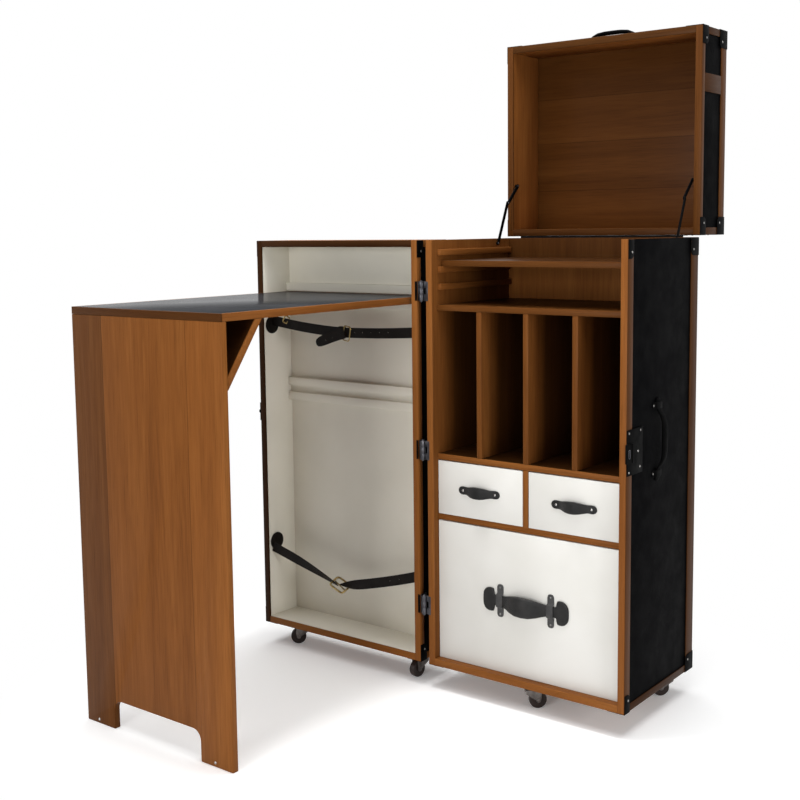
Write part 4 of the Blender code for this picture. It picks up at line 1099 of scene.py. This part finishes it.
for name, *shape, finish in strips:
    fit(corner_strip(f"lid_{name}", *shape), "lid", "wood", finish)
meeting = lid_high.z - (door_high.y - door_low.y)
start, end = meeting - SIDE_STRIP, meeting + DOOR_STRIP
for side, low, high, finish in (
    ("left", (lid_low.x, near, start), (lid_low.x + BATTEN, far, end), rim_deep),
    ("right", (lid_high.x - BATTEN, near, start), (lid_high.x, far, end), rim_deep),
    ("back", (side_left, lid_high.y - BATTEN, start), (side_right, lid_high.y, end), rim_across),
):
    fit(board(f"lid_middle_strip_{side}", low, high), "lid", "wood", finish)

# Lid hinge and stays: one long black hinge on the back edge, and a folding stay of two flat links
# on each side wall, riveted at its ends and at the elbow.
LID_HINGE_EASE = 0.0003
STAY_EASE = 0.0004
STAY_RIVET = 0.0033
STAY_END = Vector((0.0, 0.005, 0.005))
for half in ("case", "lid"):
    node = f"lid_hinge_{half}_leaf"
    fit(softened(node, f"{node}_black", LID_HINGE_EASE), half, "black_metal", black_iron, node)
for side in ("left", "right"):
    for link in ("lower", "upper"):
        node, body = f"lid_stay_{link}_{side}", f"lid_stay_{link}"
        low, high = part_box(node)
        fit(softened(node, f"{node}_link", STAY_EASE), body, "black_metal", black_iron, node)
        face = high.x if side == "left" else low.x
        heads = [low + STAY_END] if link == "lower" else [low + STAY_END, high - STAY_END]
        for head in heads:
            head.x = face
        fit(studs(f"{node}_rivets", heads, "X", STAY_RIVET), body, "hinge_steel", hinge_steel)

# Corner caps: pressed black sheet over the corners of all three boxes, nailed through the strips.
# Each covers only the faces that are free there, and its open corners are cut round.
CAP = 0.045
CAP_SHEET = 0.0011
CAP_LIFT = 0.0012
CAP_ROUND = 0.014
CAP_SETBACK = 0.0006
CAP_EASE = 0.0004
LID_CAP = 0.036
NAIL = 0.0028
NAIL_PLACE = 0.66


def pressed_cap(faces, size):
    """One cap cut from sheet: the sides of a block that lie on the trunk, for a corner at the origin."""
    outer = [-CAP_LIFT if letter in faces else CAP_SETBACK for letter in AXES]
    made = block("cap", outer, size)
    wanted = [tuple(-1 if letter == face else 0 for letter in AXES) for face in faces]
    pick_faces(made, lambda face: tuple(round(part) for part in face.normal) not in wanted)
    bpy.ops.mesh.delete(type="FACE")
    bpy.ops.mesh.select_mode(type="VERT")
    bpy.ops.mesh.select_all(action="DESELECT")
    bpy.ops.object.mode_set(mode="OBJECT")
    for vertex in made.data.vertices:
        far = sum(abs(vertex.co[axis] - size[axis]) < 0.00001 for axis in range(3))
        vertex.select = far == 2
    bpy.ops.object.mode_set(mode="EDIT")
    bpy.ops.mesh.bevel(offset=CAP_ROUND, segments=5, affect="VERTICES")
    bpy.ops.object.mode_set(mode="OBJECT")
    sheet = made.modifiers.new("sheet", "SOLIDIFY")
    sheet.thickness = CAP_SHEET
    sheet.offset = -1.0
    bpy.ops.object.modifier_apply(modifier=sheet.name)
    return eased(made, CAP_EASE)


caps = {}
nails = {axis: studs(f"cap_nail_{axis}", [Vector()], axis, NAIL) for axis in AXES}
nail_steel = metal("nail_steel", (0.22, 0.21, 0.20), (0.40, 0.39, 0.37), 0.32)


def corner_cap(name, body, corner, inward, faces, depth):
    """A copy of the cap with these faces, mirrored into its corner and nailed on."""
    size = (CAP, depth, CAP)
    if (faces, depth) not in caps:
        caps[faces, depth] = pressed_cap(faces, size)
    into_corner = Matrix.Translation(corner) @ Matrix.Diagonal((*inward, 1.0))
    fit(copy_of(caps[faces, depth], name, into_corner), body, "black_metal", black_iron)
    for face in faces:
        reach = [-CAP_LIFT if letter == face else NAIL_PLACE * side for letter, side in zip(AXES, size)]
        place = Matrix.Translation(into_corner @ Vector(reach))
        fit(copy_of(nails[face], f"{name}_nail_{face.lower()}", place), body, "hinge_steel", nail_steel)


for half, low, high in (("case", case_low, case_high), ("door", door_low, door_high)):
    for side, edge, inward in (("left", low.x, 1), ("right", high.x, -1)):
        for place, depth, into, level, down, faces, size in (
            ("bottom_front", low.y, 1, low.z, 1, "XZ", SIDE_STRIP),
            ("bottom_rear", high.y, -1, low.z, 1, "XYZ", CAP),
            ("top_front", low.y, 1, high.z, -1, "X", SIDE_STRIP),
            ("top_rear", high.y, -1, high.z, -1, "XY", CAP),
        ):
            name = f"{half}_cap_{place}_{side}"
            corner_cap(name, half, (edge, depth, level), (inward, into, down), faces, size)
for side, edge, inward in lid_sides:
    for level, height, down in lid_levels:
        name = f"{level}_{side}"
        corner_cap(f"lid_cap_rim_{name}", "lid", (edge, lid_low.y, height), (inward, 1, down), "XZ", LID_CAP)
        corner_cap(f"lid_cap_{name}", "lid", (edge, lid_high.y, height), (inward, -1, down), "XYZ", CAP)
put_away(*caps.values(), *nails.values())

# Carrying handles: stuffed leather straps, one on the case's right side and one on the lid.
# Their ends lie under black loops that are nailed to the boards.
HANDLE = (
    (0.1020, 0.0080, 0.0032, 0.0), (0.1008, 0.0150, 0.0040, 0.0), (0.0975, 0.0205, 0.0045, 0.0),
    (0.0925, 0.0235, 0.0048, 0.0), (0.0840, 0.0240, 0.0050, 0.0), (0.0760, 0.0215, 0.0052, 0.0008),
    (0.0680, 0.0190, 0.0060, 0.0050), (0.0580, 0.0180, 0.0076, 0.0105), (0.0440, 0.0190, 0.0090, 0.0152),
    (0.0240, 0.0205, 0.0098, 0.0166), (0.0, 0.0210, 0.0100, 0.0168),
)
LOOP = (
    (0.0260, 0.0060, 0.0016, 0.0), (0.0250, 0.0110, 0.0020, 0.0), (0.0225, 0.0150, 0.0022, 0.0),
    (0.0165, 0.0160, 0.0022, 0.0), (0.0150, 0.0160, 0.0024, 0.0015), (0.0135, 0.0160, 0.0024, 0.0050),
    (0.0120, 0.0160, 0.0022, 0.0056), (0.0, 0.0160, 0.0022, 0.0058),
)
LOOP_PLACE = 0.083
LOOP_POWER = 0.35
LOOP_NAIL = 0.0208
LOOP_FACE = 0.0021
LOOP_HEAD = 0.0026
carrying_leather = leather(
    "black_carrying_leather", (0.0018, 0.0018, 0.0020), (0.0040, 0.0039, 0.0038),
    grain=900.0, roughness=0.5, shine=0.008,
)
strap = bar_on_face("handle_leather", Vector(), RIGHT, BACK, UP, HANDLE)
loop = bar_on_face("handle_loop", Vector(), BACK, RIGHT, UP, LOOP, LOOP_POWER)
heads = [BACK * way * LOOP_NAIL + UP * LOOP_FACE for way in (-1, 1)]
loop_nails = studs("loop_nails", heads, "Z", LOOP_HEAD)
for node, body, along, out in (("side_handle", "case", UP, RIGHT), ("lid_handle", "lid", RIGHT, UP)):
    low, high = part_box(node)
    centre = (low + high) / 2
    centre -= out * (centre - low).dot(out)
    seat = Matrix.Translation(centre) @ Matrix((along, BACK, out)).transposed().to_4x4()
    fit(copy_of(strap, f"{node}_leather", seat), body, "black_leather", carrying_leather, node)
    for end, way in (("first", -1), ("second", 1)):
        place = seat @ Matrix.Translation(RIGHT * way * LOOP_PLACE)
        fit(copy_of(loop, f"{node}_loop_{end}", place), body, "black_metal", black_iron)
        fit(copy_of(loop_nails, f"{node}_loop_nails_{end}", place), body, "hinge_steel", nail_steel)
put_away(strap, loop, loop_nails)

# Lock: a black plate nailed round the case's front edge, with a swinging hasp that catches the
# keeper on the door half when the trunk is shut.
LOCK_EASE = 0.0005
LOCK_NAILS = ((0.008, 0.008), (0.008, 0.100), (0.064, 0.015), (0.054, 0.053), (0.066, 0.101))
EYE_IN = 0.008
EYE = (0.007, 0.020, 0.0008)
for node, body in (("lock_plate", "case"), ("lock_hasp", "lock_hasp"), ("lock_keeper", "door")):
    fit(softened(node, f"{node}_black", LOCK_EASE), body, "black_metal", black_iron, node)
low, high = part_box("lock_plate")
heads = [Vector((high.x, low.y + along, low.z + up)) for along, up in LOCK_NAILS]
fit(studs("lock_plate_nails", heads, "X", NAIL), "case", "hinge_steel", nail_steel)
low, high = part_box("lock_hasp")
centre = Vector((high.x, low.y + EYE_IN, (low.z + high.z) / 2))
eye = buckle("lock_hasp_eye", centre, *EYE, (0.0, 0.0, math.pi / 2))
fit(eye, "lock_hasp", "hinge_steel", hinge_steel)

# Casters: pressed steel forks that swivel under the boards, with dark brown moulded wheels
# on steel axles. Each stands turned as it last rolled.
WHEEL_RADIUS = 0.0225
WHEEL_WIDTH = 0.018
WHEEL_EASE = 0.003
TREAD = 0.006
HUB = 0.008
HUB_SUNK = 0.82
wheel_brown = polished("dark_brown_wheel", (0.026, 0.018, 0.016), (0.046, 0.034, 0.030), shine=0.15)
caster_steel = metal("caster_steel", (0.085, 0.075, 0.070), (0.17, 0.155, 0.145), 0.36)
TRAIL = 0.022
AXLE = 0.004
AXLE_PROUD = 0.0012
FORK_SHEET = 0.0025
FORK_INSIDE = 0.0102
FORK_OUTSIDE = FORK_INSIDE + FORK_SHEET
FORK_ROOF = 0.0249
FORK_TOP = FORK_ROOF + FORK_SHEET
FORK_FRONT = 2 * AXLE
FORK_SKIRT = 2 * AXLE
FORK_TIP = 0.0064
FORK_NECK = 0.010
FORK_EASE = 0.0005
CUP_EASE = 0.0008
CUP_TOP = case_low.z - SEAT - WHEEL_RADIUS
CASTERS = (
    ("case_front", 45), ("case_rear_right", 225), ("case_rear_left", 225), ("door_left", 225),
    ("door_right", 260),
)


def pressed_fork():
    """Two tapered arms, the roof that joins them, the swivel cup on top and the riveted axle."""
    back = -TRAIL - FORK_INSIDE
    tip = []
    for step in range(7):
        angle = -math.pi * step / 6
        tip.append((FORK_TIP * math.cos(angle), FORK_TIP * math.sin(angle)))
    front = [(FORK_FRONT, FORK_TOP), (FORK_FRONT, FORK_NECK)]
    arm = [(back, FORK_TOP), *front, *tip, (back, FORK_ROOF - FORK_SKIRT)]
    made = [
        moulding("fork", "Y", (-FORK_OUTSIDE, -FORK_INSIDE), arm, FORK_EASE),
        moulding("other_arm", "Y", (FORK_INSIDE, FORK_OUTSIDE), arm, FORK_EASE),
        board("roof", (back, -FORK_INSIDE, FORK_ROOF), (FORK_FRONT, FORK_INSIDE, FORK_TOP), FORK_EASE),
    ]
    cup_middle = (-TRAIL, 0.0, (CUP_TOP + FORK_TOP) / 2)
    made.append(eased(cylinder("Z", FORK_INSIDE, CUP_TOP - FORK_TOP, 24, cup_middle), CUP_EASE))
    made.append(eased(cylinder("Y", AXLE, 2 * (FORK_OUTSIDE + AXLE_PROUD), 24), CUP_EASE))
    return joined(made)


fork = pressed_fork()
wheel = cylinder("Y", WHEEL_RADIUS, WHEEL_WIDTH, 48)
pick_faces(wheel, lambda face: abs(face.normal.y) > 0.9)
bpy.ops.mesh.inset(thickness=WHEEL_RADIUS - HUB - TREAD, use_individual=True)
bpy.ops.transform.resize(value=(1.0, HUB_SUNK, 1.0))
bpy.ops.object.mode_set(mode="OBJECT")
eased(wheel, WHEEL_EASE, 3)
for place, degrees in CASTERS:
    low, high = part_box(f"caster_wheel_{place}")
    centre = Vector(((low.x + high.x) / 2, (low.y + high.y) / 2, WHEEL_RADIUS))
    stand = Matrix.Translation(centre) @ Matrix.Rotation(math.radians(degrees), 4, "Z")
    node = f"caster_fork_{place}"
    fit(copy_of(fork, f"{node}_pressed", stand), f"caster_{place}", "black_metal", caster_steel, node)
    node = f"caster_wheel_{place}"
    fit(copy_of(wheel, f"{node}_moulded", stand), f"wheel_{place}", "caster_wheel", wheel_brown, node)
put_away(fork, wheel)

# Studio: a pale floor that runs into a white background, soft lamps in front, at the right, overhead
# and behind, and the camera where the photographer stood.
FLOOR_REACH = 14.0
FLOOR_DROP = 0.0005
FLOOR_FADE = (0.6, 1.08)
FLOOR_GLOW = 0.12
FLOOR_GAIN = 0.36
FLOOR_GREY = (0.88, 0.88, 0.88, 1.0)
FLOOR_ROUGH = 0.9
WHITE = (1.0, 1.0, 1.0, 1.0)
WORLD_FILL = 0.22
LAMPS = (
    ("key_lamp", (0.45, -4.8, 1.15), (0.1, 0.0, 0.8), 1.6, 95.0),
    ("side_lamp", (3.3, -0.75, 1.05), (0.0, 0.1, 0.8), 0.7, 29.0),
    ("top_lamp", (-0.1, 0.0, 3.6), (-0.1, 0.0, 0.0), 4.0, 150.0),
    ("spot_lamp", (-0.1, -0.3, 3.6), (-0.1, -0.3, 0.0), 0.5, 42.0),
    ("back_lamp", (-0.8, 2.4, 4.4), (0.0, 0.3, 0.8), 1.6, 5.0),
)
CAMERA_PLACE = Vector((1.8163, -2.3934, 1.2129))
CAMERA_TURN = math.radians(37.673)
CAMERA_DOWN = math.radians(6.247)
CAMERA_ROLL = math.radians(-0.668)
LENS = 53.51
SHIFT = (0.0003, -0.0511)


def seen_directly(tree):
    """One for rays that show the background: the camera's, and those by way of gloss or glass."""
    rays = add_node(tree, "ShaderNodeLightPath").outputs
    either = reckon(tree, "MAXIMUM", rays["Is Camera Ray"], rays["Is Glossy Ray"])
    return reckon(tree, "MAXIMUM", either, rays["Is Transmission Ray"])


bpy.ops.mesh.primitive_plane_add(size=FLOOR_REACH, location=(0.0, 0.0, -FLOOR_DROP))
floor = bpy.context.object
floor.name = "studio_floor"
floor_finish, tree, place = new_finish("studio_paper")
surface = tree.nodes["Principled BSDF"]
surface.inputs["Base Color"].default_value = FLOOR_GREY
surface.inputs["Roughness"].default_value = FLOOR_ROUGH
reach = add_node(tree, "ShaderNodeVectorMath", {"operation": "LENGTH"}, _0=place).outputs["Value"]
fade = remap(tree, reach, *FLOOR_FADE, 0.0, 1.0, "SMOOTHSTEP")
seen = seen_directly(tree)
share = reckon(tree, "MULTIPLY", remap(tree, fade, 0.0, 1.0, FLOOR_GLOW, 1.0), seen)
gain = reckon(tree, "MULTIPLY", seen, FLOOR_GAIN)
glow = add_node(tree, "ShaderNodeEmission", Color=WHITE, Strength=1.0).outputs[0]
brighter = add_node(tree, "ShaderNodeBsdfDiffuse", Color=gain).outputs[0]
paper = add_node(tree, "ShaderNodeAddShader", _0=surface.outputs[0], _1=brighter).outputs[0]
mixed = add_node(tree, "ShaderNodeMixShader", _0=share, _1=paper, _2=glow).outputs[0]
tree.links.new(mixed, tree.nodes["Material Output"].inputs["Surface"])
floor.data.materials.append(floor_finish)

world = bpy.data.worlds.new("studio")
bpy.context.scene.world = world
world.use_nodes = True
tree = world.node_tree
background = tree.nodes["Background"]
strength = remap(tree, seen_directly(tree), 0.0, 1.0, WORLD_FILL, 1.0)
tree.links.new(strength, background.inputs["Strength"])
background.inputs["Color"].default_value = WHITE

for name, place, aim, size, power in LAMPS:
    light = bpy.data.lights.new(name, "AREA")
    light.shape = "SQUARE"
    light.size = size
    light.energy = power
    lamp = bpy.data.objects.new(name, light)
    bpy.context.scene.collection.objects.link(lamp)
    lamp.location = place
    lamp.rotation_euler = (Vector(aim) - Vector(place)).to_track_quat("-Z", "Y").to_euler()

level = math.cos(CAMERA_DOWN)
forward = Vector((-math.sin(CAMERA_TURN) * level, math.cos(CAMERA_TURN) * level, -math.sin(CAMERA_DOWN)))
right = Vector((math.cos(CAMERA_TURN), math.sin(CAMERA_TURN), 0.0))
up = right.cross(forward)
rolled_right = math.cos(CAMERA_ROLL) * right + math.sin(CAMERA_ROLL) * up
rolled_up = math.cos(CAMERA_ROLL) * up - math.sin(CAMERA_ROLL) * right
camera_data = bpy.data.cameras.new("photographer")
camera_data.lens = LENS
camera_data.shift_x, camera_data.shift_y = SHIFT
camera = bpy.data.objects.new("photographer", camera_data)
bpy.context.scene.collection.objects.link(camera)
turn = Matrix((rolled_right, rolled_up, -forward)).transposed().to_4x4()
camera.matrix_world = Matrix.Translation(CAMERA_PLACE) @ turn
bpy.context.scene.camera = camera
bpy.context.scene.view_settings.view_transform = "Standard"
